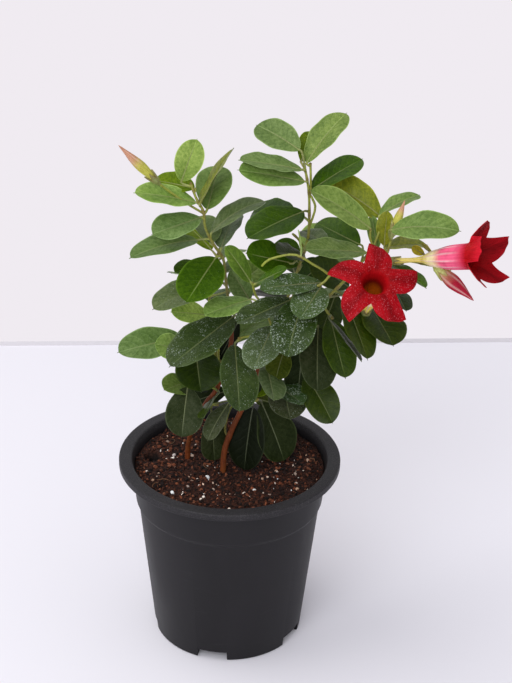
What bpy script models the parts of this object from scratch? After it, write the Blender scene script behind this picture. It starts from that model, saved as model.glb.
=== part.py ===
"""A young mandevilla in a black plastic nursery pot, built as one standing part.

Numbers are in millimetres; MM turns them into Blender's metres. The origin lies on the pot's axis, on the
surface it stands on. +X is to the right and +Y away from the viewer of the plant's front side.
"""
import math

import bmesh
import bpy
from mathutils import Matrix, Vector

MM = 0.001
GAP = 0.3

# Pot
POT_HEIGHT = 115.7
RIM_RADIUS = 65.0
RIM_INNER_RADIUS = 57.6
RIM_DROP = 4.2
RIM_THICKNESS = 1.6
BAND_TOP_RADIUS = 57.9
BAND_FOOT_RADIUS = 55.2
STEP_Z = 88.0
BODY_TOP_RADIUS = 53.7
FOOT_RADIUS = 44.4
WALL = 1.6
FLOOR = 1.8
EDGE_ROUND = 1.0
SHOULDER = 1.8
POT_SEGMENTS = 44

# Drain pockets round the foot
POCKETS = 5
POCKET_ANGLE = -102.0
POCKET_WIDTH = 18.0
POCKET_HEIGHT = 6.0
POCKET_DEPTH = 11.0
POCKET_WALL = 1.6
SLOT_WIDTH = 9.0
SLOT_DEPTH = 3.5

# Potting mix
SOIL_Z = 109.0
SOIL_SEGMENTS = 32
SOIL_RINGS = (12.0, 24.0, 35.0, 46.0)
SOIL_RELIEF = 1.1
STEM_HOLE_DEPTH = 28.0
FINGER_HOLE = (-46.0, 8.0)
FINGER_HOLE_RADIUS = 3.2
FINGER_HOLE_DEPTH = 7.0
# The hole's radius at its floor and above the mix, as shares of its radius at the surface
FINGER_HOLE_TAPER = (0.6, 1.3)

# Leaves
BLADE_THICKNESS = 0.7
BLADE_FOLD = 0.16
BLADE_STATIONS = (0.05, 0.22, 0.5, 0.78, 0.93)
# The blade is an oval up to this share of its length, widest beyond its middle, with a short point at the end
BLADE_END = 0.97
BLADE_SKEW = 1.25
STALK_RADIUS = 0.65
STALK_SLANT = 0.4
STALK_BEND = 0.3
STALK_GRIP = 1.6

# Stems
TWIG_STEP = 14.0
WOODY_SIDES = 8
TWIG_SIDES = 5

# Blooms and buds
LOBES = 5
TUBE_RADIUS = 2.0
THROAT_RADIUS = 7.0
# The tube below the limb: share of the length behind the mouth, and radius
FUNNEL = ((-1.0, TUBE_RADIUS), (-0.8, 2.7), (-0.6, 4.7), (-0.3, 6.3), (-0.04, THROAT_RADIUS))
LONG_FUNNEL = ((-1.0, 1.7), (-0.62, 1.9), (-0.52, 3.9), (-0.4, 5.2), (-0.28, 6.4), (-0.04, THROAT_RADIUS))
PETAL_THICKNESS = 0.8
LIMB_STEP = 1.2
LIMB_RINGS = (0.55, 1.0)
THROAT_DEPTH = 0.56
BUD_SIDES = 8

# Woody stems: route from the root end up, and radius at each end
WOODY = {
    "stem_left": dict(
        route=[(-26, 5, 82), (-25, 5, 109), (-24, 4, 124), (-19, 3, 137), (-15, 2, 148), (-8, 0, 160),
               (-3, -1, 176), (0, -2, 192), (0, -3, 206)],
        radii=(1.5, 1.2)),
    "stem_right": dict(
        route=[(-5, -9, 82), (-4, -9, 109), (-3, -8, 124), (1, -7, 137), (6, -6, 149), (12, -4, 165),
               (19, -3, 184), (24, -2, 200)],
        radii=(1.8, 1.3)),
}

# Green shoots. Twigs are routes with their radii, the first from a woody stem. A leaf row gives the blade's
# base point, its tip, its width, its roll about the midrib in degrees and how far it arches, as a share of its
# length. A leaf's stalk leaves the nearest twig.
SHOOTS = {
    "shoot_left": dict(
        twigs=[([(0, -3, 204), (-1, -3, 209), (-2, -4, 219), (-3.5, -5, 232), (-5, -6, 245), (-10, -6, 253),
                 (-15, -5, 263), (-16, -4, 272), (-20, -2, 279), (-23, 0, 287)], 1.2, 0.9),
               ([(-16, -4, 271), (-24, -4, 276), (-31, -4, 281), (-37, -5, 286), (-40, -6, 289)], 0.9, 0.9)],
        leaves=[
            ((-28, 0, 288), (-19.5, -1, 313), 15.5, 90, 0.03),
            ((-21, 2, 283), (-44, 16, 282), 16, -25, 0.03),
            ((-20, -2, 276.5), (-53.5, -11, 285.5), 18, -20, 0.02),
            ((-14, -2, 272.5), (-8, 28, 286.5), 20, 5, 0.03),
            ((-18, -5, 277), (0, 18, 301), 18, -40, 0.01),
            ((-17.5, -5, 269), (-43.5, -22, 266), 19, -20, 0.02),
            ((-19, -6, 256), (-55.5, -26, 253.5), 19, -10, 0.05),
            ((-11.5, -4, 259.5), (18.5, 12, 272), 18, 0, 0.12),
            ((-6, -5, 251), (2, 25, 259), 17, -20, 0.03),
            ((-12, -3, 253), (-17.5, 25, 257.5), 17, 5, 0.03),
            ((-9, -8, 246.5), (-24.5, -43, 235.5), 24, -15, 0.03),
            ((-9, -2, 238.5), (-31.5, -24, 244.5), 14, -10, 0.04),
            ((-9.5, -2, 230), (-43.5, -24, 222), 22, -5, 0.04),
            ((10, 6, 214), (-1, 7, 233), 15, -55, 0.03),
        ]),
    "shoot_top": dict(
        twigs=[([(24, -2, 198), (26, -2, 204), (31, 0, 218), (36.5, 2, 235), (41, 3, 250), (42, 2, 261),
                 (41.5, 1, 279), (40, 0, 290), (38, 2, 298)], 1.2, 0.9),
               ([(42, 1, 280), (42, 1, 290), (41.5, 1, 299)], 0.9, 0.9),
               ([(42, 2, 261), (44, 1, 268), (45, 1, 274), (42.5, 1, 280)], 0.9, 0.9),
               ([(40, 3, 248), (36, 0, 255), (33, -3, 259)], 0.9, 0.9)],
        leaves=[
            ((31, -12, 246), (7, -20, 255), 20, -40, 0.03),
            ((39, -1, 246), (24, -21, 256), 16, -25, 0.02),
            ((38.5, -2, 272), (7.5, -25, 265.5), 23, -15, 0.03),
            ((33.5, 6, 268.5), (10.5, 28, 258), 19, -25, 0.03),
            ((35.5, 2, 306), (12, 23, 312.5), 18.5, -30, 0.03),
            ((39.5, 0, 299.5), (61.5, 21, 321), 19.5, 0, 0.03),
            ((36.5, 4, 299), (45.5, 30, 306), 13, 25, 0.03),
            ((37, -2, 296.5), (2.5, -12, 305.5), 17, -12, 0.03),
            ((38.5, -4, 290.5), (2, -15, 301), 19, -28, 0.03),
            ((42, 2, 282.5), (71.5, 21, 294.5), 18, 10, 0.03),
            ((51, -2, 253), (39, 16, 253), 14, -5, 0.03),
            ((38, 8, 236), (22.5, 8, 248), 17, -60, 0.03),
            ((38, 14, 221), (52, 14, 235), 16, 60, 0.03),
        ]),
    "shoot_right": dict(
        twigs=[([(22, -3, 191), (26, -4, 194), (38, -5, 208), (52, -8, 222), (65, -8, 237), (74, -8, 249),
                 (77, -8, 255)], 1.3, 1.1),
               ([(77, -8, 254), (75, -8, 260), (75, -8, 265)], 0.9, 0.9),
               ([(77, -8, 254), (80, -3, 260), (82, 1, 265)], 0.9, 0.9),
               ([(77, -8, 254), (80, -9, 249), (83, -9, 247), (86, -10, 247)], 1.1, 1.2),
               ([(77, -8, 254), (80, -6, 249), (85, -5, 246), (92, -5, 245), (100, -9, 246), (105, -14, 247),
                 (109, -18, 248)], 1.0, 1.0),
               ([(78, -8, 253), (84, -9, 250), (86, -8, 256), (87, -8, 261)], 0.9, 0.9),
               ([(77, -8, 254), (79, -5, 243), (77, -9, 233), (74, -16, 224), (73, -22, 220),
                 (73, -26, 222)], 1.0, 1.1),
               ([(52, -8, 221), (52, -15, 219), (56, -20, 216)], 0.9, 0.9),
               ([(65, -8, 236), (73, -9, 233), (84, -7, 230), (92, 1, 228)], 0.9, 0.9)],
        leaves=[
            ((75, -8, 265), (41, -7, 287), 19, -30, 0.03),
            ((81.5, 4, 267), (50.5, 20, 280), 21, -35, 0.1),
            ((80.5, 0, 269.5), (103.5, 16, 275.5), 15, -5, 0.06),
            ((86, -12, 266), (122, -26, 272), 19.5, 30, 0.12),
            ((84, -6, 252.5), (109, 10, 248), 15, 5, 0.03),
            ((73, -15, 254), (38.5, -27, 260.5), 18, -15, 0.0),
            ((70.5, 2, 251), (47, 24, 254.5), 19, -25, 0.03),
            ((62, -14, 226.5), (74, -47, 204.5), 20, -20, 0.03),
            ((55, -14, 213), (63, -40, 189), 20, -10, 0.03),
            ((54, -25, 218), (71, -46, 203), 12, -37, 0.0),
            ((76, -8, 219.5), (88.5, -38, 208.5), 26, -10, 0.03),
            ((89, 2, 227), (96, -22, 222), 14, -20, 0.03),
            ((84.5, -3, 242), (105.5, -27, 238.5), 14, -10, 0.06),
            ((66, 8, 222), (43, 4, 240), 17, -60, 0.03),
            ((58.5, 4, 220), (50.5, -4, 198.5), 17, -40, 0.03),
            ((79.5, -4, 250.5), (76, 2, 269), 8, -40, 0.03),
            ((83.5, -4, 253), (84.5, -1, 273), 10, 0, 0.03),
            ((105, -10, 251), (98, -9, 255), 5, -70, 0.0),
            ((109, -11, 252), (103, -11, 258), 3, 60, 0.0),
        ]),
    "shoot_front": dict(
        twigs=[([(19, -3, 183), (20, -7, 187), (22, -12, 203), (28, -21, 224), (37, -28, 235),
                 (48, -31, 242), (53, -29, 247)], 1.1, 0.9),
               ([(21, -8, 195), (12, -15, 202), (4, -20, 203)], 0.9, 0.9),
               ([(23, -13, 206), (17, -20, 224), (13, -25, 232), (11, -28, 241)], 0.9, 0.9),
               ([(53, -29, 246), (48, -29, 250), (43, -29, 253), (37, -29, 257), (31, -28, 258), (20, -28, 255),
                 (16, -28, 251)], 0.9, 0.9)],
        leaves=[
            ((10, -18, 226), (-15, -38, 226), 17, -10, 0.03),
            ((2, -20, 199), (5, -54, 175), 24, -25, 0.03),
            ((23, -22, 212), (12, -52, 200), 21, 0, 0.03),
            ((33, -25, 230), (2.5, -47, 225.5), 19, -5, 0.0),
            ((40, -30, 234), (30, -60, 212), 25, 0, 0.03),
            ((48, -30, 240), (36, -54, 232), 20, -5, 0.03),
            ((48.5, -27, 241), (14, -45, 245.5), 14, -30, 0.03),
            ((10, -29, 242), (-4, -33, 265), 11, -60, 0.03),
            ((13, -29, 241), (29.5, -36, 253.5), 9, 25, 0.03),
            ((37, -29, 257), (35, -29, 273), 3, 0, 0.03),
        ]),
    "shoot_low_left": dict(
        twigs=[([(-3, -1, 175), (-7, 0, 179), (-18, 2, 185), (-26, 3, 187)], 1.1, 0.9),
               ([(-7, 0, 178), (-7, -5, 190), (-4, -9, 204)], 0.9, 0.9),
               ([(-9, 0, 179), (-9, 3, 192), (-12, 4, 204)], 0.9, 0.9)],
        leaves=[
            ((-12, 4, 205), (-34, -10, 214), 16, -35, 0.0),
            ((1, -9, 211), (-34, -40, 195), 27, -10, 0.03),
            ((-28, 5, 190.5), (-64, -13, 189.5), 21, -30, 0.03),
            ((-27, 0, 185), (-43, -14, 196), 15, -65, 0.03),
            ((-20, -4, 188.5), (-16.5, -24, 170.5), 27, 0, 0.0),
        ]),
    "shoot_low": dict(
        twigs=[([(-8, 0, 160), (-11, -3, 163), (-16, -3, 167), (-21, -2, 165)], 0.9, 0.9)],
        leaves=[
            ((-24, 3, 163.5), (-38, -14, 166.5), 16, -30, 0.02),
            ((-24.5, -8, 165.5), (-27.5, -24, 141), 22, -15, 0.03),
            ((-7, -5, 160), (-15, -32, 159), 15, 50, 0.03),
        ]),
    "shoot_base": dict(
        twigs=[([(6, -6, 149), (10, -3, 151), (16, 1, 153)], 0.9, 0.9)],
        leaves=[
            ((18, 4, 149), (32, -6, 115), 26, 20, 0.03),
            ((13, 0, 148), (8.5, -11, 111.5), 22, -5, 0.03),
        ]),
    "shoot_foot": dict(
        twigs=[([(-15, 2, 148), (-11, -1, 150), (-7, -3, 151)], 0.9, 0.9)],
        leaves=[
            ((-1, -8, 155), (-13, -22, 138), 14, 5, 0.03),
            ((-11, 2, 142), (-9, -3, 113), 18, -5, 0.03),
        ]),
    "shoot_low_right": dict(
        twigs=[([(15, -3, 173), (19, -5, 176), (26, -8, 182), (36, -12, 192), (45, -16, 204)], 1.0, 0.9),
               ([(25, -8, 181), (34, -7, 176), (42, -9, 178)], 0.9, 0.9)],
        leaves=[
            ((48, -18, 209.5), (47.5, -44, 183), 23, -20, 0.03),
            ((42.5, -12, 175.5), (57.5, -34, 157), 19, 30, 0.03),
            ((20, -16, 184), (24, -44, 177), 17, -25, 0.03),
            ((30, -14, 193), (25, -26, 180), 15, 0, 0.03),
            ((20, -8, 170), (41, -30, 167), 18, 0, 0.03),
            ((31, -3, 166), (34, -30, 157), 22, 0, 0.03),
            ((40, -6, 192), (38, -14, 164), 18, -10, 0.03),
        ]),
    "shoot_back_left": dict(
        twigs=[([(-5, 0, 168), (-8, 8, 178), (-13, 17, 195), (-12, 23, 215), (-8, 26, 234)], 1.1, 0.9)],
        leaves=[
            ((-16, 12, 176), (-42, 36, 168), 19, 0, 0.04),
            ((-2, 14, 182), (26.5, 34, 191.5), 24, 0, 0.04),
            ((-20, 20, 198), (-42, 48, 196), 19, 15, 0.04),
            ((-10, 25, 202), (-10, 60, 194), 20, 0, 0.04),
            ((-18, 26, 216), (-36, 54, 208), 18, 10, 0.04),
            ((-5, 29, 220), (14, 56, 214), 18, 0, 0.04),
            ((-12, 30, 234), (-28, 54, 240), 16, 0, 0.04),
            ((-5, 29, 230), (4, 54, 224), 16, 0, 0.04),
            ((4, 10, 199), (-9, 10, 170), 13, -60, 0.03),
            ((-12, 10, 183), (-17, 9, 152), 15, -35, 0.03),
            ((1, 24, 213), (18, 34, 223.5), 17, 40, 0.03),
        ]),
    "shoot_back_right": dict(
        twigs=[([(12, -4, 165), (15, 1, 169), (23, 9, 179), (32, 18, 198), (37, 24, 218),
                 (38, 26, 232)], 1.1, 0.9)],
        leaves=[
            ((24, 14, 182), (26, 50, 176), 20, 0, 0.04),
            ((32, 11, 188), (62, 26, 184), 19, -10, 0.04),
            ((32.5, 24, 204.5), (11.5, 58, 194.5), 18, 0, 0.04),
            ((42, 19, 208), (72, 36, 204), 19, -10, 0.04),
            ((36, 30, 220), (32, 62, 222), 18, 0, 0.04),
            ((44, 24, 224), (72, 36, 226), 17, 0, 0.04),
            ((41, 31, 233), (52, 56, 240), 16, 0, 0.04),
            ((18, 6, 168), (13, 4, 155), 10, -20, 0.03),
            ((26, 9, 161), (11, 10, 153), 12, -60, 0.03),
        ]),
    "shoot_back_low": dict(
        twigs=[([(-1, -7, 131), (-3, -2, 135), (0, 7, 143), (6, 12, 147)], 0.9, 0.9)],
        leaves=[
            ((12.5, 14, 146.5), (37, 26, 130), 20, 30, 0.04),
            ((4, 18, 150), (-2, 52, 142), 20, 0, 0.04),
            ((-2, 18, 148.5), (-25, 18, 139.5), 16, -30, 0.04),
        ]),
}

# Blooms: centre of the mouth, the way it faces (heading and rise), turn about its axis, length from mouth to
# calyx, how the limb bows along a lobe, the notches' distance from the axis, and for each lobe its tip's
# distance from the axis and how far the tip lies before the mouth
BLOOMS = {
    "bloom_front": dict(mouth=(75.3, -48.0, 251.5), heading=-84.3, rise=52.9, turn=-32.5, length=34.0,
                        funnel=FUNNEL, bow=2.0, notch=12.5, lobes=((25.5, -4.6),) * 5),
    "bloom_side": dict(mouth=(126.5, -41.5, 264.5), heading=-38.4, rise=19.6, turn=-36.7, length=52.0,
                       funnel=LONG_FUNNEL, bow=1.3, notch=12.0,
                       lobes=((18.5, 12.5), (18.5, 12.5), (13.0, 14.0), (18.5, 12.5), (18.5, 12.5))),
}
# One lobe's edge, counterclockwise: share of the lobe's angle, and of the way from notch to tip
LOBE_EDGE = ((0.0, 0.0), (0.16, 0.36), (0.34, 0.66), (0.52, 0.85), (0.70, 1.0), (0.80, 0.46), (0.90, 0.16))

# Buds: base point, tip and greatest radius
BUDS = {
    "bud_left": dict(base=(-42, -6, 291), tip=(-61, -10, 312), radius=2.9),
    "bud_top": dict(base=(87.5, -8, 263), tip=(93, -6, 281), radius=2.5),
    "bud_low": dict(base=(112, -19, 247), tip=(132, -24, 230), radius=4.2),
}
BUD_PROFILE = ((0.0, 0.5), (0.15, 0.75), (0.4, 1.0), (0.62, 0.78), (0.84, 0.36), (1.0, 0.1))
BUD_TWIST = 50.0
BUD_FURROW = 0.88

# Calyx cups
SEPALS = 5
SEPAL_LENGTH = 6.0
SEPAL_THICKNESS = 0.7
SEPAL_NOTCH = 1.8
CUP_LENGTH = 4.0
CUP_FOOT_RADIUS = 0.9
CUP_SHOULDER = 0.8

COLOURS = {
    "pot_plastic": ((0.028, 0.028, 0.031), 0.5),
    "soil_mix": ((0.10, 0.036, 0.020), 0.95),
    "leaf_green": ((0.045, 0.105, 0.022), 0.45),
    "stem_bark": ((0.20, 0.065, 0.030), 0.7),
    "petal_red": ((0.52, 0.012, 0.028), 0.5),
    "bud_red": ((0.45, 0.09, 0.07), 0.5),
}


def clear_scene():
    for item in list(bpy.data.objects):
        bpy.data.objects.remove(item, do_unlink=True)


def material(name):
    found = bpy.data.materials.get(name)
    if found:
        return found
    made = bpy.data.materials.new(name)
    made.use_nodes = True
    shader = made.node_tree.nodes["Principled BSDF"]
    colour, roughness = COLOURS[name]
    shader.inputs["Base Color"].default_value = (*colour, 1.0)
    shader.inputs["Roughness"].default_value = roughness
    shader.inputs["Metallic"].default_value = 0.0
    return made


def mesh_object(name, points, faces, finish):
    """An object from points in millimetres."""
    mesh = bpy.data.meshes.new(name)
    mesh.from_pydata([Vector(p) * MM for p in points], [], faces)
    mesh.update()
    made = bpy.data.objects.new(name, mesh)
    bpy.context.scene.collection.objects.link(made)
    mesh.materials.append(material(finish))
    outward(made)
    return made


def outward(item):
    """Turns every face of a closed body outward."""
    shape = bmesh.new()
    shape.from_mesh(item.data)
    bmesh.ops.recalc_face_normals(shape, faces=shape.faces)
    shape.to_mesh(item.data)
    shape.free()


def round_shading(item, sharp=40.0):
    item.data.shade_smooth()
    item.data.set_sharp_from_angle(angle=math.radians(sharp))


def combined(item, others, operation, solver="EXACT"):
    """Applies one Boolean with a collection of objects, then removes those objects."""
    group = bpy.data.collections.new(item.name + "_operands")
    for other in others:
        group.objects.link(other)
    step = item.modifiers.new("boolean", "BOOLEAN")
    step.operation = operation
    step.operand_type = "COLLECTION"
    step.collection = group
    step.solver = solver
    view = bpy.context.evaluated_depsgraph_get()
    result = bpy.data.meshes.new_from_object(item.evaluated_get(view))
    item.modifiers.clear()
    old = item.data
    item.data = result
    bpy.data.meshes.remove(old)
    for other in others:
        bpy.data.objects.remove(other, do_unlink=True)
    bpy.data.collections.remove(group)
    return item


def turned(name, profile, segments, finish):
    """A closed body of revolution about Z; the profile starts and ends on the axis."""
    shape = bmesh.new()
    corners = [shape.verts.new(Vector((r, 0.0, z)) * MM) for r, z in profile]
    edges = [shape.edges.new(pair) for pair in zip(corners, corners[1:])]
    bmesh.ops.spin(shape, geom=corners + edges, cent=(0, 0, 0), axis=(0, 0, 1), angle=math.tau,
                   steps=segments, use_duplicate=False)
    bmesh.ops.remove_doubles(shape, verts=shape.verts, dist=0.01 * MM)
    bmesh.ops.recalc_face_normals(shape, faces=shape.faces)
    mesh = bpy.data.meshes.new(name)
    shape.to_mesh(mesh)
    shape.free()
    made = bpy.data.objects.new(name, mesh)
    bpy.context.scene.collection.objects.link(made)
    mesh.materials.append(material(finish))
    return made


def radial_box(name, angle, inner, outer, width, low, high, finish):
    """A block whose long side points away from the axis at the angle."""
    turn = Matrix.Rotation(math.radians(angle), 3, "Z")
    half = width / 2
    points = [turn @ Vector((r, side, z)) for z in (low, high)
              for r, side in ((inner, -half), (outer, -half), (outer, half), (inner, half))]
    faces = [(3, 2, 1, 0), (4, 5, 6, 7), (0, 1, 5, 4), (1, 2, 6, 5), (2, 3, 7, 6), (3, 0, 4, 7)]
    return mesh_object(name, points, faces, finish)


def smooth_route(points, step):
    """Points about a step apart on a Catmull-Rom curve through the given ones."""
    nodes = [Vector(p) for p in points]
    ends = [nodes[0] * 2 - nodes[1]] + nodes + [nodes[-1] * 2 - nodes[-2]]
    route = []
    for a, b, c, d in zip(ends, ends[1:], ends[2:], ends[3:]):
        pieces = max(1, round((c - b).length / step))
        for k in range(pieces):
            t = k / pieces
            route.append(0.5 * (2 * b + (c - a) * t + (2 * a - 5 * b + 4 * c - d) * t * t
                                + (3 * b - a - 3 * c + d) * t ** 3))
    return route + [nodes[-1]]


def tube(name, route, radii, sides, finish):
    """A closed tube along a route, its radius running evenly from the first to the last."""
    tangents = [(b - a).normalized() for a, b in zip([route[0]] + route[:-1], route[1:] + [route[-1]])]
    side = tangents[0].orthogonal().normalized()
    points = []
    count = len(route)
    for k, (centre, tangent) in enumerate(zip(route, tangents)):
        side = (side - tangent * side.dot(tangent)).normalized()
        other = tangent.cross(side)
        radius = radii[0] + (radii[1] - radii[0]) * k / (count - 1)
        for n in range(sides):
            turn = math.tau * n / sides
            points.append(centre + (side * math.cos(turn) + other * math.sin(turn)) * radius)
    faces = [tuple(range(sides))[::-1], tuple(range((count - 1) * sides, count * sides))]
    for k in range(count - 1):
        for n in range(sides):
            low, high = k * sides, (k + 1) * sides
            faces.append((low + n, low + (n + 1) % sides, high + (n + 1) % sides, high + n))
    return mesh_object(name, points, faces, finish)


def blade_axes(base, tip, roll):
    """The midrib's direction, the way the upper face looks, and the way across."""
    along = (Vector(tip) - Vector(base)).normalized()
    heading = math.atan2(along.y, along.x)
    rise = math.asin(max(-1.0, min(1.0, along.z)))
    up = Vector((-math.cos(heading) * math.sin(rise), -math.sin(heading) * math.sin(rise), math.cos(rise)))
    up = Matrix.Rotation(math.radians(roll), 3, along) @ up
    return along, up, along.cross(up)


def blade_half_width(t):
    """Half the blade's width at a share of its length, as a share of the whole half width."""
    share = min(1.0, t / BLADE_END) ** BLADE_SKEW
    return math.sqrt(4 * share * (1 - share))


def nearest_on(routes, point):
    """The nearest point of several routes, and the way that route runs there."""
    best = None
    for route in routes:
        for a, b in zip(route, route[1:]):
            run = b - a
            t = max(0.0, min(1.0, (point - a).dot(run) / run.length_squared))
            spot = a + run * t
            gap = (point - spot).length
            if best is None or gap < best[0]:
                best = (gap, spot, run.normalized())
    return best


def leaf(name, routes, base, tip, width, roll, arch):
    """One closed leaf: a stalk from the nearest twig that widens into a folded, arched blade."""
    along, up, across = blade_axes(base, tip, roll)
    base, length = Vector(base), (Vector(tip) - Vector(base)).length
    gap, spot, run = nearest_on(routes, base)
    root = nearest_on(routes, spot - run * max(gap * STALK_SLANT, STALK_GRIP))[1]
    bend = base - along * gap * STALK_BEND
    rings = []
    for centre, way in ((root, bend - root), (bend, base - root), (base, along)):
        turn = along.rotation_difference(way)
        out, lift = turn @ across * STALK_RADIUS, turn @ up * STALK_RADIUS
        rings.append([centre - out, centre + lift, centre + out, centre - lift])
    lift = up * BLADE_THICKNESS / 2
    for t in BLADE_STATIONS:
        middle = base + along * length * t + up * arch * length * 4 * t * (1 - t)
        half = blade_half_width(t) * width / 2
        edge = up * BLADE_FOLD * half
        left, right = middle - across * half + edge, middle + across * half + edge
        rings.append([left + lift, middle + lift, right + lift, right - lift, middle - lift, left - lift])
    end = Vector(tip)
    rings.append([end + lift, end - lift])
    points = [point for ring in rings for point in ring]
    starts = [sum(len(ring) for ring in rings[:k]) for k in range(len(rings))]
    faces = [(0, 1, 2, 3)]
    for k in range(len(rings) - 1):
        a, b = starts[k], starts[k + 1]
        sides = (len(rings[k]), len(rings[k + 1]))
        if sides == (4, 6):
            faces += [(a, a + 1, b + 1, b), (a + 1, a + 2, b + 2, b + 1), (a + 2, b + 3, b + 2),
                      (a + 2, a + 3, b + 4, b + 3), (a + 3, a, b + 5, b + 4), (a, b, b + 5)]
        elif sides == (6, 2):
            faces += [(a, a + 1, b), (a + 1, a + 2, b), (a + 2, a + 3, b + 1, b),
                      (a + 3, a + 4, b + 1), (a + 4, a + 5, b + 1), (a + 5, a, b, b + 1)]
        else:
            count = sides[0]
            for n in range(count):
                m = (n + 1) % count
                faces += [(a + n, a + m, b + m), (a + n, b + m, b + n)]
    return mesh_object(name, points, faces, "leaf_green")


def body_slope():
    """How fast the tapered body widens with height."""
    return (BODY_TOP_RADIUS - FOOT_RADIUS) / STEP_Z


def pocket_blocks(name, grow, inner, outer, low, high, finish):
    """One block for each drain pocket, wider than the pocket by grow on each side."""
    return [radial_box(name, POCKET_ANGLE + 360.0 / POCKETS * k, inner, outer, POCKET_WIDTH + 2 * grow, low,
                       high, finish) for k in range(POCKETS)]


def make_pot():
    underside = POT_HEIGHT - RIM_THICKNESS
    skirt_radius = RIM_RADIUS - RIM_THICKNESS
    profile = [
        (0.0, 0.0), (FOOT_RADIUS - EDGE_ROUND, 0.0), (FOOT_RADIUS, EDGE_ROUND),
        (BODY_TOP_RADIUS, STEP_Z - SHOULDER / 2), (BAND_FOOT_RADIUS, STEP_Z + SHOULDER / 2),
        (BAND_TOP_RADIUS, underside), (skirt_radius, underside), (skirt_radius, POT_HEIGHT - RIM_DROP),
        (RIM_RADIUS, POT_HEIGHT - RIM_DROP), (RIM_RADIUS, POT_HEIGHT - EDGE_ROUND),
        (RIM_RADIUS - EDGE_ROUND, POT_HEIGHT), (RIM_INNER_RADIUS + EDGE_ROUND, POT_HEIGHT),
        (RIM_INNER_RADIUS, POT_HEIGHT - EDGE_ROUND), (BAND_TOP_RADIUS - WALL, underside - 2 * EDGE_ROUND),
        (BAND_FOOT_RADIUS - WALL, STEP_Z), (BODY_TOP_RADIUS - WALL, STEP_Z - SHOULDER),
        (FOOT_RADIUS - WALL + body_slope() * FLOOR, FLOOR), (0.0, FLOOR),
    ]
    pot = turned("pot", profile, POT_SEGMENTS, "pot_plastic")
    inner = FOOT_RADIUS - POCKET_DEPTH
    through = FOOT_RADIUS + WALL
    roof = POCKET_HEIGHT + POCKET_WALL
    combined(pot, pocket_blocks("roof", POCKET_WALL, inner - POCKET_WALL, FOOT_RADIUS - WALL, FLOOR / 2, roof,
                                "pot_plastic"), "UNION")
    cuts = pocket_blocks("hollow", 0.0, inner, through, -FLOOR, POCKET_HEIGHT, "pot_plastic")
    side = (SLOT_WIDTH - POCKET_WIDTH) / 2
    cuts += pocket_blocks("slot", side, inner + POCKET_WALL, inner + POCKET_WALL + SLOT_DEPTH,
                          POCKET_HEIGHT - POCKET_WALL, roof + POCKET_WALL, "pot_plastic")
    combined(pot, cuts, "DIFFERENCE")
    round_shading(pot)
    return pot


def soil_height(x, y):
    """The mix's surface: two crossing waves of low mounds, fading out towards the wall."""
    mounds = math.sin(x / 5.0 + 1.0) * math.cos(y / 6.0) + 0.6 * math.sin(x / 9.0 - y / 4.0 + 2.0)
    return SOIL_Z + SOIL_RELIEF * (0.5 * mounds + 1.0 - math.hypot(x, y) ** 2 / BODY_TOP_RADIUS ** 2)


def make_soil():
    """The mix fills the pot up to the gap, with room for the pockets and the stems."""
    inset = WALL + GAP
    band_slope = (BAND_TOP_RADIUS - BAND_FOOT_RADIUS) / (POT_HEIGHT - RIM_THICKNESS - STEP_Z)
    rings = [(FOOT_RADIUS - inset + body_slope() * FLOOR, FLOOR + GAP),
             (BODY_TOP_RADIUS - inset, STEP_Z - SHOULDER + GAP), (BAND_FOOT_RADIUS - inset, STEP_Z + GAP),
             (BAND_FOOT_RADIUS - inset + band_slope * (SOIL_Z - STEP_Z), None)]
    rings += [(radius, None) for radius in reversed(SOIL_RINGS)]
    points = [(0.0, 0.0, FLOOR + GAP)]
    for radius, z in rings:
        for n in range(SOIL_SEGMENTS):
            turn = math.tau * n / SOIL_SEGMENTS
            x, y = radius * math.cos(turn), radius * math.sin(turn)
            points.append((x, y, soil_height(x, y) if z is None else z))
    points.append((0.0, 0.0, soil_height(0.0, 0.0)))
    faces = []
    for n in range(SOIL_SEGMENTS):
        m = (n + 1) % SOIL_SEGMENTS
        faces.append((0, 1 + m, 1 + n))
        for k in range(len(rings) - 1):
            low, high = 1 + k * SOIL_SEGMENTS, 1 + (k + 1) * SOIL_SEGMENTS
            faces += [(low + n, low + m, high + m), (low + n, high + m, high + n)]
        last = 1 + (len(rings) - 1) * SOIL_SEGMENTS
        faces.append((last + n, last + m, len(points) - 1))
    soil = mesh_object("soil", points, faces, "soil_mix")
    cuts = pocket_blocks("pocket_room", POCKET_WALL + GAP, FOOT_RADIUS - POCKET_DEPTH - POCKET_WALL - GAP,
                         FOOT_RADIUS + WALL, 0.0, POCKET_HEIGHT + POCKET_WALL + GAP, "soil_mix")
    above = Vector((0.0, 0.0, 3 * SOIL_RELIEF))
    for stem in WOODY.values():
        low, high = Vector(stem["route"][0]), Vector(stem["route"][1])
        low.z = SOIL_Z - STEM_HOLE_DEPTH
        room = stem["radii"][0] + 1.5 * GAP
        cuts.append(tube("stem_room", [low, high, high + above], (room, room), WOODY_SIDES, "soil_mix"))
    hole = Vector((*FINGER_HOLE, SOIL_Z))
    cuts.append(tube("finger_hole", [hole - Vector((0.0, 0.0, FINGER_HOLE_DEPTH)), hole + above],
                     [FINGER_HOLE_RADIUS * share for share in FINGER_HOLE_TAPER], WOODY_SIDES, "soil_mix"))
    combined(soil, cuts, "DIFFERENCE")
    round_shading(soil, 50.0)
    return soil


def woody_route(name):
    return smooth_route(WOODY[name]["route"], TWIG_STEP)


def make_woody():
    for name, stem in WOODY.items():
        made = tube(name, woody_route(name), stem["radii"], WOODY_SIDES, "stem_bark")
        round_shading(made, 60.0)


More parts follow.
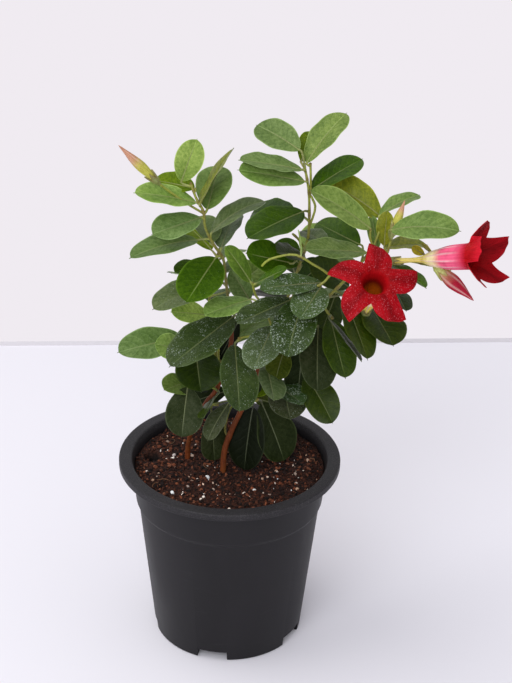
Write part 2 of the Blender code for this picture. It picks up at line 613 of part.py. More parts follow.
def woody_rooms():
    """The woody stems again, thicker by the gap, to cut seats for the shoots."""
    rooms = []
    for name, stem in WOODY.items():
        route = woody_route(name)
        top = route[-1] + (route[-1] - route[-2]).normalized() * GAP
        route = route[:-1] + [top]
        radii = [r + GAP for r in stem["radii"]]
        rooms.append(tube(name + "_room", route, radii, WOODY_SIDES, "stem_bark"))
    return rooms


def axis_frame(heading, rise):
    """The way a bloom faces, a level way across it, and the third way."""
    h, r = math.radians(heading), math.radians(rise)
    facing = Vector((math.cos(h) * math.cos(r), math.sin(h) * math.cos(r), math.sin(r)))
    across = Vector((0, 0, 1)).cross(facing).normalized()
    return facing, across, facing.cross(across)


def cup(name, foot, way, flower_radius):
    """A calyx: a cup on the stalk's end with pointed sepals, clear of the flower's foot by the gap.

    flower_radius gives the flower's radius at a height above its foot."""
    side = way.orthogonal().normalized()
    corners = 2 * SEPALS
    heights = [SEPAL_LENGTH if n % 2 else SEPAL_NOTCH for n in range(corners)]
    flat = math.cos(math.pi / corners)
    inside = [(flower_radius(h) + GAP) / flat for h in heights]
    foot_radius = (flower_radius(0.0) + GAP) / flat
    rings = [[(CUP_FOOT_RADIUS, -CUP_LENGTH)] * corners,
             [(foot_radius + SEPAL_THICKNESS, -CUP_SHOULDER)] * corners,
             [(r + SEPAL_THICKNESS, h) for r, h in zip(inside, heights)],
             list(zip(inside, heights)),
             [(foot_radius, -GAP)] * corners]
    points = []
    for ring in rings:
        for n, (radius, height) in enumerate(ring):
            out = Matrix.Rotation(math.tau * n / corners, 3, way) @ side
            points.append(foot + way * height + out * radius)
    faces = [tuple(range(corners)), tuple(range((len(rings) - 1) * corners, len(rings) * corners))]
    for k in range(len(rings) - 1):
        for n in range(corners):
            m = (n + 1) % corners
            a, b = k * corners, (k + 1) * corners
            faces += [(a + n, a + m, b + m), (a + n, b + m, b + n)]
    return mesh_object(name, points, faces, "leaf_green")


def bloom_foot(row):
    facing = axis_frame(row["heading"], row["rise"])[0]
    return Vector(row["mouth"]) - facing * row["length"], facing


CUPS = {
    "shoot_left": ["bud_left"],
    "shoot_right": ["bloom_front", "bloom_side", "bud_top", "bud_low"],
}


def along_profile(profile, share):
    """The value of a profile of (share, value) pairs at a share."""
    for (a, low), (b, high) in zip(profile, profile[1:]):
        if share <= b:
            return low + (high - low) * (share - a) / (b - a)
    return profile[-1][1]


def flower_cup(shoot, name):
    """The calyx that carries a bloom or a bud."""
    if name in BLOOMS:
        row = BLOOMS[name]
        foot, way = bloom_foot(row)
        return cup(shoot + "_cup", foot, way, lambda h: along_profile(row["funnel"], h / row["length"] - 1.0))
    row = BUDS[name]
    base, tip = Vector(row["base"]), Vector(row["tip"])
    length = (tip - base).length
    return cup(shoot + "_cup", base, (tip - base) / length,
               lambda h: row["radius"] * along_profile(BUD_PROFILE, h / length))


def make_shoot(name, row):
    routes = [smooth_route(points, TWIG_STEP) for points, first, last in row["twigs"]]
    pieces = []
    for route, (points, first, last) in zip(routes, row["twigs"]):
        pieces.append(tube(name, route, (first, last), TWIG_SIDES, "leaf_green"))
    clear_routes = [route[1:] for route in routes]
    for k, (base, tip, width, roll, arch) in enumerate(row["leaves"]):
        pieces.append(leaf(f"{name}_leaf_{k}", clear_routes, base, tip, width, roll, arch))
    pieces += [flower_cup(name, flower) for flower in CUPS.get(name, [])]
    shoot = pieces[0]
    combined(shoot, pieces[1:], "UNION", "MANIFOLD")
    shoot.name = name
    combined(shoot, woody_rooms(), "DIFFERENCE", "MANIFOLD")
    round_shading(shoot)
    return shoot


def make_bloom(name, row):
    """A funnel that opens from a narrow tube into a throat and a limb of five lobes."""
    facing, across, third = axis_frame(row["heading"], row["rise"])
    mouth = Vector(row["mouth"])
    turns = [math.tau / LOBES * (lobe + share) for lobe in range(LOBES) for share, out in LOBE_EDGE]
    rings = [[(radius, share * row["length"])] * len(turns) for share, radius in row["funnel"]]
    tube_rings = len(rings)
    notch = row["notch"]
    for part in LIMB_RINGS:
        ring = []
        for reach, before in row["lobes"]:
            for share, out in LOBE_EDGE:
                edge = notch + (reach - notch) * out
                radius = THROAT_RADIUS + (edge - THROAT_RADIUS) * part
                bow = (radius - THROAT_RADIUS) / (reach - THROAT_RADIUS)
                ring.append((radius, LIMB_STEP * (1 - part) + before * bow ** row["bow"]))
        rings.append(ring)
    inner = [[(r, h + PETAL_THICKNESS) for r, h in ring] for ring in rings[:tube_rings - 1:-1]]
    inner += [[(r - PETAL_THICKNESS, h) for r, h in ring] for ring in rings[tube_rings - 1:tube_rings - 3:-1]]
    inner.append([(TUBE_RADIUS / 2, -row["length"] * THROAT_DEPTH)] * len(turns))
    points = []
    for ring in rings + inner:
        for turn, (radius, height) in zip(turns, ring):
            way = math.radians(row["turn"]) + turn
            points.append(mouth + (across * math.cos(way) + third * math.sin(way)) * radius + facing * height)
    count = len(turns)
    faces = [tuple(range(count))[::-1]]
    total = len(rings) + len(inner)
    for k in range(total - 1):
        for n in range(count):
            m = (n + 1) % count
            a, b = k * count, (k + 1) * count
            faces += [(a + n, a + m, b + m), (a + n, b + m, b + n)]
    faces.append(tuple(range((total - 1) * count, total * count)))
    bloom = mesh_object(name, points, faces, "petal_red")
    round_shading(bloom, 50.0)
    return bloom


def make_bud(name, row):
    """A closed bud, widest before its middle, twisted to a point."""
    base, tip = Vector(row["base"]), Vector(row["tip"])
    way = (tip - base).normalized()
    side = way.orthogonal().normalized()
    points = []
    for share, width in BUD_PROFILE:
        for n in range(BUD_SIDES):
            ridge = 1.0 if n % 2 else BUD_FURROW
            turn = math.tau * n / BUD_SIDES + math.radians(BUD_TWIST) * share
            out = Matrix.Rotation(turn, 3, way) @ side
            points.append(base + (tip - base) * share + out * row["radius"] * width * ridge)
    count = len(BUD_PROFILE)
    faces = [tuple(range(BUD_SIDES))[::-1], tuple(range((count - 1) * BUD_SIDES, count * BUD_SIDES))]
    for k in range(count - 1):
        for n in range(BUD_SIDES):
            m = (n + 1) % BUD_SIDES
            a, b = k * BUD_SIDES, (k + 1) * BUD_SIDES
            faces += [(a + n, a + m, b + m), (a + n, b + m, b + n)]
    bud = mesh_object(name, points, faces, "bud_red")
    round_shading(bud, 50.0)
    return bud


def main():
    clear_scene()
    make_pot()
    make_soil()
    make_woody()
    for name, row in SHOOTS.items():
        make_shoot(name, row)
    for name, row in BLOOMS.items():
        make_bloom(name, row)
    for name, row in BUDS.items():
        make_bud(name, row)


main()
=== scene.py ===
import random
from math import asin, atan2, cos, degrees, exp, hypot, inf, pi, radians, sin, sqrt, tau

import bmesh
import bpy
from mathutils import Matrix, Vector, noise


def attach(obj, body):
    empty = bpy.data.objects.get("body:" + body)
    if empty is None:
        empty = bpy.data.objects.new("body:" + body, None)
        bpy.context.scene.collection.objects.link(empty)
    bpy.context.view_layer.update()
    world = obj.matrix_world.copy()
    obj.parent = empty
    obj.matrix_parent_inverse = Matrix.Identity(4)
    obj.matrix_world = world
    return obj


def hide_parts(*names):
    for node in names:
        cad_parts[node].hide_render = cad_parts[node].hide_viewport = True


# Looks of a young mandevilla in a black plastic nursery pot. Numbers are in millimetres, and MM turns them into
# Blender's metres. The frame's origin lies on the pot's axis, on the surface that it stands on.
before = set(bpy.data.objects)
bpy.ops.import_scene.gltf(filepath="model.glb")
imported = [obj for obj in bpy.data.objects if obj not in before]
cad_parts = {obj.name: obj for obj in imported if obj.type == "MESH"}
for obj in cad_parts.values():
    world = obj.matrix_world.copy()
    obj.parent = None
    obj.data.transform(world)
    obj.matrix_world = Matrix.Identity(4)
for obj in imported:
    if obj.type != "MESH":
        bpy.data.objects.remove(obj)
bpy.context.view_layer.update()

MM = 0.001
GAP = 0.3

# Pot
POT_HEIGHT = 115.7
RIM_RADIUS = 65.0
RIM_INNER_RADIUS = 57.6
RIM_DROP = 4.2
RIM_THICKNESS = 1.6
BAND_TOP_RADIUS = 57.9
BAND_FOOT_RADIUS = 55.2
STEP_Z = 88.0
BODY_TOP_RADIUS = 53.7
FOOT_RADIUS = 44.4
WALL = 1.6
FLOOR = 1.8
EDGE_ROUND = 1.0
SHOULDER = 1.8
POT_SEGMENTS = 180

# Drain pockets round the foot
POCKETS = 5
POCKET_ANGLE = -102.0
POCKET_WIDTH = 18.0
POCKET_HEIGHT = 6.0
POCKET_DEPTH = 11.0
POCKET_WALL = 1.6
SLOT_WIDTH = 9.0
SLOT_DEPTH = 3.5

# Potting mix and its finger hole, left of the stems
SOIL_Z = 109.0
SOIL_RELIEF = 1.1
SOIL_BOTTOM = 2.1
SOIL_RING_STEP = 0.75
SOIL_COLUMNS = 220
FINGER_HOLE = (-46.0, 8.0)
FINGER_HOLE_RADIUS = 3.2
FINGER_HOLE_DEPTH = 7.0

# Loose bits on the mix: how many, smallest and largest size, how flat, how high they sit, and how far out
CRUMBS = dict(count=4800, sizes=(0.6, 3.1), flat=(0.35, 0.8), sink=0.45, reach=54.5)
PERLITE = dict(count=150, sizes=(0.8, 2.9), flat=(0.5, 0.9), sink=0.5, reach=53.5)
HOLE_CLEAR = 1.6

# Fibres on the mix: how many, how far out they start and go, their steps, a step's length, and their radius
FIBRES = 16
FIBRE_REACH = (52.0, 53.0)
FIBRE_STEPS = 8
FIBRE_STEP = 0.9
FIBRE_RADIUS = 0.22

# Leaves. The blade is an oval up to BLADE_END of its length, widest beyond its middle, with a short point.
BLADE_FOLD = 0.16
BLADE_END = 0.97
BLADE_SKEW = 1.25
LEAF_ARCH = 0.03
STALK_RADIUS = 0.65
STALK_SLANT = 0.4
STALK_BEND = 0.3
STALK_GRIP = 1.6

# Fine leaf meshes: columns across, stations along, and how each blade differs from the plain oval
COLUMNS = (-1.0, -0.93, -0.78, -0.58, -0.36, -0.17, -0.06, 0.0, 0.06, 0.17, 0.36, 0.58, 0.78, 0.93, 1.0)
STATIONS = (0.004, 0.02, 0.045, 0.08, 0.125, 0.18, 0.24, 0.31, 0.38, 0.45, 0.52, 0.59, 0.66, 0.73, 0.79, 0.84,
            0.88, 0.91, 0.935, 0.953, 0.965, 0.975, 0.998)
LEAF_THICKNESS = 0.42
LEAF_THINNING = 0.6
FOLD_POWER = 1.3
LEAF_TWIST = 9.0
LEAF_SWAY = 0.025
END_HALF_WIDTH = 0.55
MARGIN_WAVE = 0.03
MARGIN_WAVES = (1.6, 2.8)
MARGIN_SHIFT = 0.7
PILLOW = 0.06
RIB_GROOVE = 0.22
RIB_SPREAD = 0.09
VEIN_DEPTH = 0.10
VEINS = 9
VEIN_SLANT = 1.6
STALK_SIDES = 8
RIB_STATIONS = (2, 6)

# Fine twigs and woody stems. STEM_RING is every how many steps a stem swells, by how much, and over how many.
FINE_STEP = 2.5
TWIG_SIDES = 10
TWIG_SLIM = 0.74
NODE_SWELL = 0.25
NODE_REACH = 1.2
STALK_SEARCH_STEP = 14.0
STEM_STEP = 1.6
STEM_SIDES = 18
STEM_LUMP = 0.10
STEM_RING = (13, 0.16, 1.3)

# Blooms and buds. The tube below the limb: share of the length behind the mouth, and radius.
LOBES = 5
THROAT_RADIUS = 7.0
FUNNEL = ((-1.0, 2.0), (-0.8, 2.7), (-0.6, 4.7), (-0.3, 6.3), (-0.04, THROAT_RADIUS))
LONG_FUNNEL = ((-1.0, 1.7), (-0.62, 1.9), (-0.52, 3.9), (-0.4, 5.2), (-0.28, 6.4), (-0.04, THROAT_RADIUS))
TUBE_FLUTE = 0.012
LIMB_STEP = 1.2
LOBE_TIP = 0.70
LOBE_TILT = 2.2
LOBE_RIPPLE = 0.4
THROAT_DEPTH = 0.56
FINE_PETAL = 0.5
TUBE_ROWS = 26
LIMB_ROWS = 12
THROAT_ROWS = 12
LOBE_COLUMNS = 30
BUD_ROWS = 30
BUD_COLUMNS = 60
BUD_TWIST = 50.0
BUD_LAP = 0.14

# Calyx cups
SEPALS = 5
SEPAL_LENGTH = 6.0
SEPAL_NOTCH = 0.22
SEPAL_COLUMNS = 10
SEPAL_RIDGE = 0.12
CUP_LENGTH = 4.0
CUP_WAIST = 0.8
CUP_THICKNESS = 0.45
CUP_FOOT = 0.9
CUP_INSET = 0.1
CUPS = {
    "shoot_left": ["bud_left"],
    "shoot_right": ["bloom_front", "bloom_side", "bud_top", "bud_low"],
}

# Woody stems: route from the root end up, and radius at each end
WOODY = {
    "stem_left": dict(
        route=[(-26, 5, 82), (-25, 5, 109), (-24, 4, 124), (-19, 3, 137), (-15, 2, 148), (-8, 0, 160),
               (-3, -1, 176), (0, -2, 192), (0, -3, 206)],
        radii=(1.5, 1.2)),
    "stem_right": dict(
        route=[(-5, -9, 82), (-4, -9, 109), (-3, -8, 124), (1, -7, 137), (6, -6, 149), (12, -4, 165),
               (19, -3, 184), (24, -2, 200)],
        radii=(1.8, 1.3)),
}

# Green shoots: twigs, parted by semicolons, then leaves. A twig is a row of points and its radius at each end, and
# the first leaves a woody stem. A leaf is its tone, its blade's base point and tip, its width, its roll about the
# midrib in degrees and, where it isn't LEAF_ARCH, how far it arches, as a share of its length. Its stalk leaves the
# nearest twig.
SHOOTS = {
    "shoot_left": ("""
        0 -3 204, -1 -3 209, -2 -4 219, -3.5 -5 232, -5 -6 245, -10 -6 253, -15 -5 263, -16 -4 272,
        -20 -2 279, -23 0 287, 1.2 0.9;
        -16 -4 271, -24 -4 276, -31 -4 281, -37 -5 286, -40 -6 289, 0.9 0.9""", """
        young -28 0 288 -19.5 -1 313 15.5 90, olive -21 2 283 -44 16 282 16 -25,
        young -20 -2 276.5 -53.5 -11 285.5 18 -20 0.02, bright -14 -2 272.5 -8 28 286.5 20 5,
        gold -18 -5 277 0 18 301 18 -40 0.01, mid -17.5 -5 269 -43.5 -22 266 19 -20 0.02,
        mid -19 -6 256 -55.5 -26 253.5 19 -10 0.05, grey -11.5 -4 259.5 18.5 12 272 18 0 0.12,
        grey -6 -5 251 2 25 259 17 -20, mid -12 -3 253 -17.5 25 257.5 17 5,
        vivid -9 -8 246.5 -24.5 -43 235.5 24 -15, vivid -9 -2 238.5 -31.5 -24 244.5 14 -10 0.04,
        grey -9.5 -2 230 -43.5 -24 222 22 -5 0.04, mid 10 6 214 -1 7 233 15 -55"""),
    "shoot_top": ("""
        24 -2 198, 26 -2 204, 31 0 218, 36.5 2 235, 41 3 250, 42 2 261, 41.5 1 279, 40 0 290, 38 2 298,
        1.2 0.9;
        42 1 280, 42 1 290, 41.5 1 299, 0.9 0.9;
        42 2 261, 44 1 268, 45 1 274, 42.5 1 280, 0.9 0.9;
        40 3 248, 36 0 255, 33 -3 259, 0.9 0.9""", """
        vivid 31 -12 246 7 -20 255 20 -40, dark 39 -1 246 24 -21 256 16 -25 0.02,
        ivy 38.5 -2 272 7.5 -25 265.5 23 -15, ivy 33.5 6 268.5 10.5 28 258 19 -25,
        mid 35.5 2 306 12 23 312.5 18.5 -30, bright 39.5 0 299.5 61.5 21 321 19.5 0,
        olive 36.5 4 299 45.5 30 306 13 25, mid 37 -2 296.5 2.5 -12 305.5 17 -12,
        bright 38.5 -4 290.5 2 -15 301 19 -28, fresh 42 2 282.5 71.5 21 294.5 18 10, grey 51 -2 253 39 16 253 14 -5,
        fresh 38 8 236 22.5 8 248 17 -60, ivy 38 14 221 52 14 235 16 60"""),
    "shoot_right": ("""
        22 -3 191, 26 -4 194, 38 -5 208, 52 -8 222, 65 -8 237, 74 -8 249, 77 -8 255, 1.3 1.1;
        77 -8 254, 75 -8 260, 75 -8 265, 0.9 0.9;
        77 -8 254, 80 -3 260, 82 1 265, 0.9 0.9;
        77 -8 254, 80 -9 249, 83 -9 247, 86 -10 247, 1.1 1.2;
        77 -8 254, 80 -6 249, 85 -5 246, 92 -5 245, 100 -9 246, 105 -14 247, 109 -18 248, 1 1;
        78 -8 253, 84 -9 250, 86 -8 256, 87 -8 261, 0.9 0.9;
        77 -8 254, 79 -5 243, 77 -9 233, 74 -16 224, 73 -22 220, 73 -26 222, 1 1.1;
        52 -8 221, 52 -15 219, 56 -20 216, 0.9 0.9;
        65 -8 236, 73 -9 233, 84 -7 230, 92 1 228, 0.9 0.9""", """
        bright 75 -8 265 41 -7 287 19 -30, gold 81.5 4 267 50.5 20 280 21 -35 0.1,
        bright 80.5 0 269.5 103.5 16 275.5 15 -5 0.06, bright 86 -12 266 122 -26 272 19.5 30 0.12,
        gold 84 -6 252.5 109 10 248 15 5, mid 73 -15 254 38.5 -27 260.5 18 -15 0,
        fresh 70.5 2 251 47 24 254.5 19 -25, dark 62 -14 226.5 74 -47 204.5 20 -20,
        holly 55 -14 213 63 -40 189 20 -10, dim 54 -25 218 71 -46 203 12 -37 0,
        dark 76 -8 219.5 88.5 -38 208.5 26 -10, dark 89 2 227 96 -22 222 14 -20,
        fresh 84.5 -3 242 105.5 -27 238.5 14 -10 0.06, dark 66 8 222 43 4 240 17 -60,
        dark 58.5 4 220 50.5 -4 198.5 17 -40, bright 79.5 -4 250.5 76 2 269 8 -40,
        gold 83.5 -4 253 84.5 -1 273 10 0, dry 105 -10 251 98 -9 255 5 -70 0, dry 109 -11 252 103 -11 258 3 60 0"""),
    "shoot_front": ("""
        19 -3 183, 20 -7 187, 22 -12 203, 28 -21 224, 37 -28 235, 48 -31 242, 53 -29 247, 1.1 0.9;
        21 -8 195, 12 -15 202, 4 -20 203, 0.9 0.9;
        23 -13 206, 17 -20 224, 13 -25 232, 11 -28 241, 0.9 0.9;
        53 -29 246, 48 -29 250, 43 -29 253, 37 -29 257, 31 -28 258, 20 -28 255, 16 -28 251, 0.9 0.9""", """
        light 10 -18 226 -15 -38 226 17 -10, moss 2 -20 199 5 -54 175 24 -25, frost 23 -22 212 12 -52 200 21 0,
        moss 33 -25 230 2.5 -47 225.5 19 -5 0, fern 40 -30 234 30 -60 212 25 0, misty 48 -30 240 36 -54 232 20 -5,
        misty 48.5 -27 241 14 -45 245.5 14 -30, clear 10 -29 242 -4 -33 265 11 -60,
        fresh 13 -29 241 29.5 -36 253.5 9 25, young 37 -29 257 35 -29 273 3 0"""),
    "shoot_low_left": ("""
        -3 -1 175, -7 0 179, -18 2 185, -26 3 187, 1.1 0.9;
        -7 0 178, -7 -5 190, -4 -9 204, 0.9 0.9;
        -9 0 179, -9 3 192, -12 4 204, 0.9 0.9""", """
        lime -12 4 205 -34 -10 214 16 -35 0, moss 1 -9 211 -34 -40 195 27 -10, mid -28 5 190.5 -64 -13 189.5 21 -30,
        young -27 0 185 -43 -14 196 15 -65, pine -20 -4 188.5 -16.5 -24 170.5 27 0 0"""),
    "shoot_low": ("""
        -8 0 160, -11 -3 163, -16 -3 167, -21 -2 165, 0.9 0.9""", """
        bright -24 3 163.5 -38 -14 166.5 16 -30 0.02, slate -24.5 -8 165.5 -27.5 -24 141 22 -15,
        dark -7 -5 160 -15 -32 159 15 50"""),
    "shoot_base": ("""
        6 -6 149, 10 -3 151, 16 1 153, 0.9 0.9""", """
        deep 18 4 149 32 -6 115 26 20, shade 13 0 148 8.5 -11 111.5 22 -5"""),
    "shoot_foot": ("""
        -15 2 148, -11 -1 150, -7 -3 151, 0.9 0.9""", """
        dim -1 -8 155 -13 -22 138 14 5, slate -11 2 142 -9 -3 113 18 -5"""),
    "shoot_low_right": ("""
        15 -3 173, 19 -5 176, 26 -8 182, 36 -12 192, 45 -16 204, 1 0.9;
        25 -8 181, 34 -7 176, 42 -9 178, 0.9 0.9""", """
        slate 48 -18 209.5 47.5 -44 183 23 -20, dark 42.5 -12 175.5 57.5 -34 157 19 30,
        grey 20 -16 184 24 -44 177 17 -25, moor 30 -14 193 25 -26 180 15 0, misty 20 -8 170 41 -30 167 18 0,
        dim 31 -3 166 34 -30 157 22 0, deep 40 -6 192 38 -14 164 18 -10"""),
    "shoot_back_left": ("""
        -5 0 168, -8 8 178, -13 17 195, -12 23 215, -8 26 234, 1.1 0.9""", """
        mid -16 12 176 -42 36 168 19 0 0.04, mid -2 14 182 26.5 34 191.5 24 0 0.04,
        mid -20 20 198 -42 48 196 19 15 0.04, vivid -10 25 202 -10 60 194 20 0 0.04,
        mid -18 26 216 -36 54 208 18 10 0.04, mid -5 29 220 14 56 214 18 0 0.04,
        olive -12 30 234 -28 54 240 16 0 0.04, mid -5 29 230 4 54 224 16 0 0.04, shade 4 10 199 -9 10 170 13 -60,
        shade -12 10 183 -17 9 152 15 -35, bright 1 24 213 18 34 223.5 17 40"""),
    "shoot_back_right": ("""
        12 -4 165, 15 1 169, 23 9 179, 32 18 198, 37 24 218, 38 26 232, 1.1 0.9""", """
        dark 24 14 182 26 50 176 20 0 0.04, mid 32 11 188 62 26 184 19 -10 0.04,
        deep 32.5 24 204.5 11.5 58 194.5 18 0 0.04, mid 42 19 208 72 36 204 19 -10 0.04,
        dark 36 30 220 32 62 222 18 0 0.04, mid 44 24 224 72 36 226 17 0 0.04, young 41 31 233 52 56 240 16 0 0.04,
        deep 18 6 168 13 4 155 10 -20, olive 26 9 161 11 10 153 12 -60"""),
    "shoot_back_low": ("""
        -1 -7 131, -3 -2 135, 0 7 143, 6 12 147, 0.9 0.9""", """
        moor 12.5 14 146.5 37 26 130 20 30 0.04, mid 4 18 150 -2 52 142 20 0 0.04,
        deep -2 18 148.5 -25 18 139.5 16 -30 0.04"""),
}

# Blooms: centre of the mouth, the way it faces (heading and rise), turn about its axis, length from mouth to
# calyx, how the limb bows along a lobe, the notches' distance from the axis, and for each lobe its tip's
# distance from the axis and how far the tip lies before the mouth
BLOOMS = {
    "bloom_front": dict(mouth=(75.3, -48.0, 251.5), heading=-84.3, rise=52.9, turn=-32.5, length=34.0,
                        funnel=FUNNEL, bow=2.0, notch=12.5, lobes=((25.5, -4.6),) * 5),
    "bloom_side": dict(mouth=(126.5, -41.5, 264.5), heading=-38.4, rise=19.6, turn=-36.7, length=52.0,
                       funnel=LONG_FUNNEL, bow=1.3, notch=12.0,
                       lobes=((18.5, 12.5), (18.5, 12.5), (13.0, 14.0), (18.5, 12.5), (18.5, 12.5))),
}
# One lobe's edge, counterclockwise: share of the lobe's angle, and of the way from notch to tip
LOBE_RISE = ((0.0, 0.0), (0.16, 0.36), (0.34, 0.66), (0.52, 0.85), (LOBE_TIP, 1.0))
LOBE_FALL = ((LOBE_TIP, 1.0), (0.8, 0.46), (0.9, 0.16), (1.0, 0.0))

# Buds: base point, tip and greatest radius
BUDS = {
    "bud_left": dict(base=(-42, -6, 291), tip=(-61, -10, 312), radius=2.9),
    "bud_top": dict(base=(87.5, -8, 263), tip=(93, -6, 281), radius=2.5),
    "bud_low": dict(base=(112, -19, 247), tip=(132, -24, 230), radius=4.2),
}
BUD_PROFILE = ((0.0, 0.5), (0.15, 0.75), (0.4, 1.0), (0.62, 0.78), (0.84, 0.36), (1.0, 0.1))

# Camera, fitted to the photograph's frame
IMAGE_HEIGHT = 683.0
FOCAL_PIXELS = 1716.0
SENSOR = 36.0
CAMERA_PLACE = (0.0, -866.0, 637.0)
CAMERA_PITCH = 27.25
CAMERA_YAW = 0.93
CAMERA_ROLL = 1.14

# Stage: half the floor's width, how far it lies under the pot, where it ends at left and right, and its colours
FLOOR_HALF = 3000.0
FLOOR_DROP = 0.2
FLOOR_BACK = (237.0, 495.0)
FLOOR_TINTS = ((0.815, 0.80, 0.855), (0.83, 0.815, 0.865))
# The ledge is a low strip darker than the floor: painted shade for the shadow line where floor meets wall
LEDGE_HEIGHT = 3.5
SHADOW_LINE_TINTS = ((0.70, 0.68, 0.70), (0.74, 0.72, 0.74))
SKY = (0.66, 0.652, 0.677)
WALL_GLOW = (0.871, 0.831, 0.879)

# Lamps: place, size, power in watts and colour, all turned to one point
LAMPS = {
    "key": ((-1300.0, 100.0, 2300.0), 2200.0, 22.0, (1.0, 0.985, 0.96)),
    "fill": ((-600.0, -1900.0, 1500.0), 1800.0, 30.0, (0.95, 0.97, 1.0)),
}
AIM = (10.0, 0.0, 180.0)

# Each tone of leaf: the upper face's colour, how thickly dew lies on it, shown as pale painted glints, and the
# stalk's colour
LEAF_TONES = {
    "young": (0.256, 0.376, 0.074, 0.0, 0.3, 0.34, 0.1),
    "bright": (0.162, 0.244, 0.05, 0.1, 0.28, 0.32, 0.09),
    # Painted light: a lighter copy of the young tone, for a young leaf that lies in shade
    "lime": (0.345, 0.49, 0.085, 0.0, 0.3, 0.34, 0.1),
    "light": (0.2, 0.32, 0.07, 0.1, 0.28, 0.32, 0.09),
    "clear": (0.114, 0.198, 0.018, 0.1, 0.26, 0.3, 0.08),
    "olive": (0.126, 0.19, 0.004, 0.0, 0.28, 0.28, 0.08),
    "gold": (0.206, 0.224, 0.011, 0.0, 0.3, 0.3, 0.08),
    "mid": (0.136, 0.206, 0.054, 0.1, 0.24, 0.27, 0.08),
    "grey": (0.108, 0.15, 0.053, 0.55, 0.2, 0.22, 0.08),
    "frost": (0.083, 0.119, 0.048, 1.0, 0.2, 0.22, 0.08),
    "misty": (0.049, 0.087, 0.023, 1.0, 0.2, 0.22, 0.08),
    "fresh": (0.054, 0.122, 0.002, 0.3, 0.26, 0.3, 0.08),
    "moss": (0.042, 0.068, 0.016, 0.8, 0.18, 0.2, 0.06),
    "fern": (0.026, 0.05, 0.006, 0.8, 0.18, 0.2, 0.06),
    "holly": (0.042, 0.076, 0.003, 0.3, 0.2, 0.23, 0.06),
    "ivy": (0.03, 0.07, 0.001, 0.3, 0.16, 0.18, 0.05),
    "slate": (0.03, 0.04, 0.015, 0.4, 0.14, 0.16, 0.05),
    "pine": (0.018, 0.034, 0.0008, 0.25, 0.14, 0.16, 0.04),
    "dim": (0.064, 0.074, 0.036, 0.5, 0.14, 0.16, 0.05),
    "dark": (0.028, 0.049, 0.0012, 0.25, 0.14, 0.16, 0.04),
    "deep": (0.018, 0.026, 0.007, 0.3, 0.07, 0.08, 0.03),
    "moor": (0.055, 0.073, 0.007, 0.3, 0.16, 0.17, 0.05),
    "vivid": (0.048, 0.104, 0.003, 0.4, 0.26, 0.3, 0.08),
    # Painted shade: near black, for leaves that stand in the shade deep inside the canopy
    "shade": (0.007, 0.01, 0.004, 0.0, 0.03, 0.035, 0.012),
    "dry": (0.37, 0.285, 0.013, 0.0, 0.12, 0.08, 0.03),
}
MATT_TONES = ("deep", "shade", "dim", "slate", "olive", "vivid", "moor")

# Colours that mix into the tones or lie beside them, and how far they vary from leaf to leaf
UNDERSIDE = (0.16, 0.20, 0.09)
UNDER_WET = 0.15
LEAF_SPREAD = 0.10
STALK_SPREAD = 0.12
WET_SPREAD = (0.8, 1.2)
TWIG_FOOT_TINT = (0.155, 0.125, 0.022)
TWIG_TOP_TINT = (0.300, 0.345, 0.042)
NODE_TINT = (0.17, 0.085, 0.030)
BARK_TINT = (0.160, 0.036, 0.007)
CUP_TINT = (0.24, 0.27, 0.085)
SEPAL_TINT = (0.30, 0.16, 0.07)

# For each bloom how thickly dew lies on it, shown as pale painted glints, and how light its inner face is painted,
# the side bloom's darker as painted shade for its shaded inside; then the colours of a bloom
BLOOM_LOOKS = {"bloom_front": (0.72, 0.82), "bloom_side": (0.1, 0.71)}
# The third colour darkens the middle of each lobe: painted shade along its fold
LIMB_INNER, LIMB_OUTER, LIMB_FOLD_SHADE = (0.36, 0.003, 0.006), (0.46, 0.004, 0.011), (0.24, 0.002, 0.005)
BACK_INNER, BACK_OUTER = (0.45, 0.005, 0.010), (0.62, 0.012, 0.028)
THROAT_TINTS = ((0.40, 0.004, 0.007), (0.17, 0.004, 0.003), (0.54, 0.13, 0.005))
YELLOW, CREAM, PINK, CRIMSON = (0.90, 0.80, 0.14), (0.94, 0.84, 0.46), (0.85, 0.12, 0.24), (0.55, 0.008, 0.03)
PALE_STRIPE = (0.90, 0.62, 0.62)

# How far each bud is green, how strong its pale stripes are, and how red its point is, then a bud's colours
BUD_LOOKS = {"bud_left": (0.58, 0.35, 0.12), "bud_top": (0.70, 0.2, 0.06), "bud_low": (0.16, 0.55, 1.0)}
BUD_GREEN, BUD_BLUSH = (0.54, 0.54, 0.10), (0.58, 0.32, 0.19)
BUD_RED, BUD_STRIPE = (0.42, 0.015, 0.040), (0.85, 0.60, 0.55)
# How much lighter a bud's cup is painted, where that isn't one: painted light for a cup that lies in shade
CUP_PAINTED_LIGHT = {"bud_low": 2.4, "bud_top": 1.3}

# Colours of the crumbs, the white grains and the fibres, and how far they vary
BROWNS = ((0.085, 0.024, 0.010), (0.15, 0.044, 0.019), (0.018, 0.006, 0.004), (0.006, 0.003, 0.002),
          (0.24, 0.080, 0.037), (0.03, 0.009, 0.005), (0.008, 0.003, 0.002), (0.05, 0.014, 0.007))
WHITES = ((0.86, 0.80, 0.74), (0.66, 0.52, 0.44), (0.92, 0.88, 0.83), (0.50, 0.33, 0.24))
FIBRE_TINT = (0.24, 0.12, 0.06)
BIT_SPREAD = 0.25
FIBRE_SPREAD = 0.3


def ease(low, high, value):
    """Nought up to low, one from high on, and a smooth rise between."""
    t = max(0.0, min(1.0, (value - low) / (high - low)))
    return t * t * (3 - 2 * t)


def blend(a, b, share):
    return tuple(p + (q - p) * share for p, q in zip(a, b))


def scaled(colour, factor):
    return tuple(value * factor for value in colour)


def varied(colour, chance, spread):
    """The colour a little lighter or darker, and a little warmer or cooler."""
    light = 1.0 + chance.uniform(-spread, spread)
    warm = 1.0 + chance.uniform(-spread, spread) / 2
    return colour[0] * light * warm, colour[1] * light, colour[2] * light / warm


def polar(radius, angle):
    return radius * cos(angle), radius * sin(angle)


def spoke(side, other, angle):
    """A unit arrow, turned by the angle from one side towards the other."""
    return side * cos(angle) + other * sin(angle)


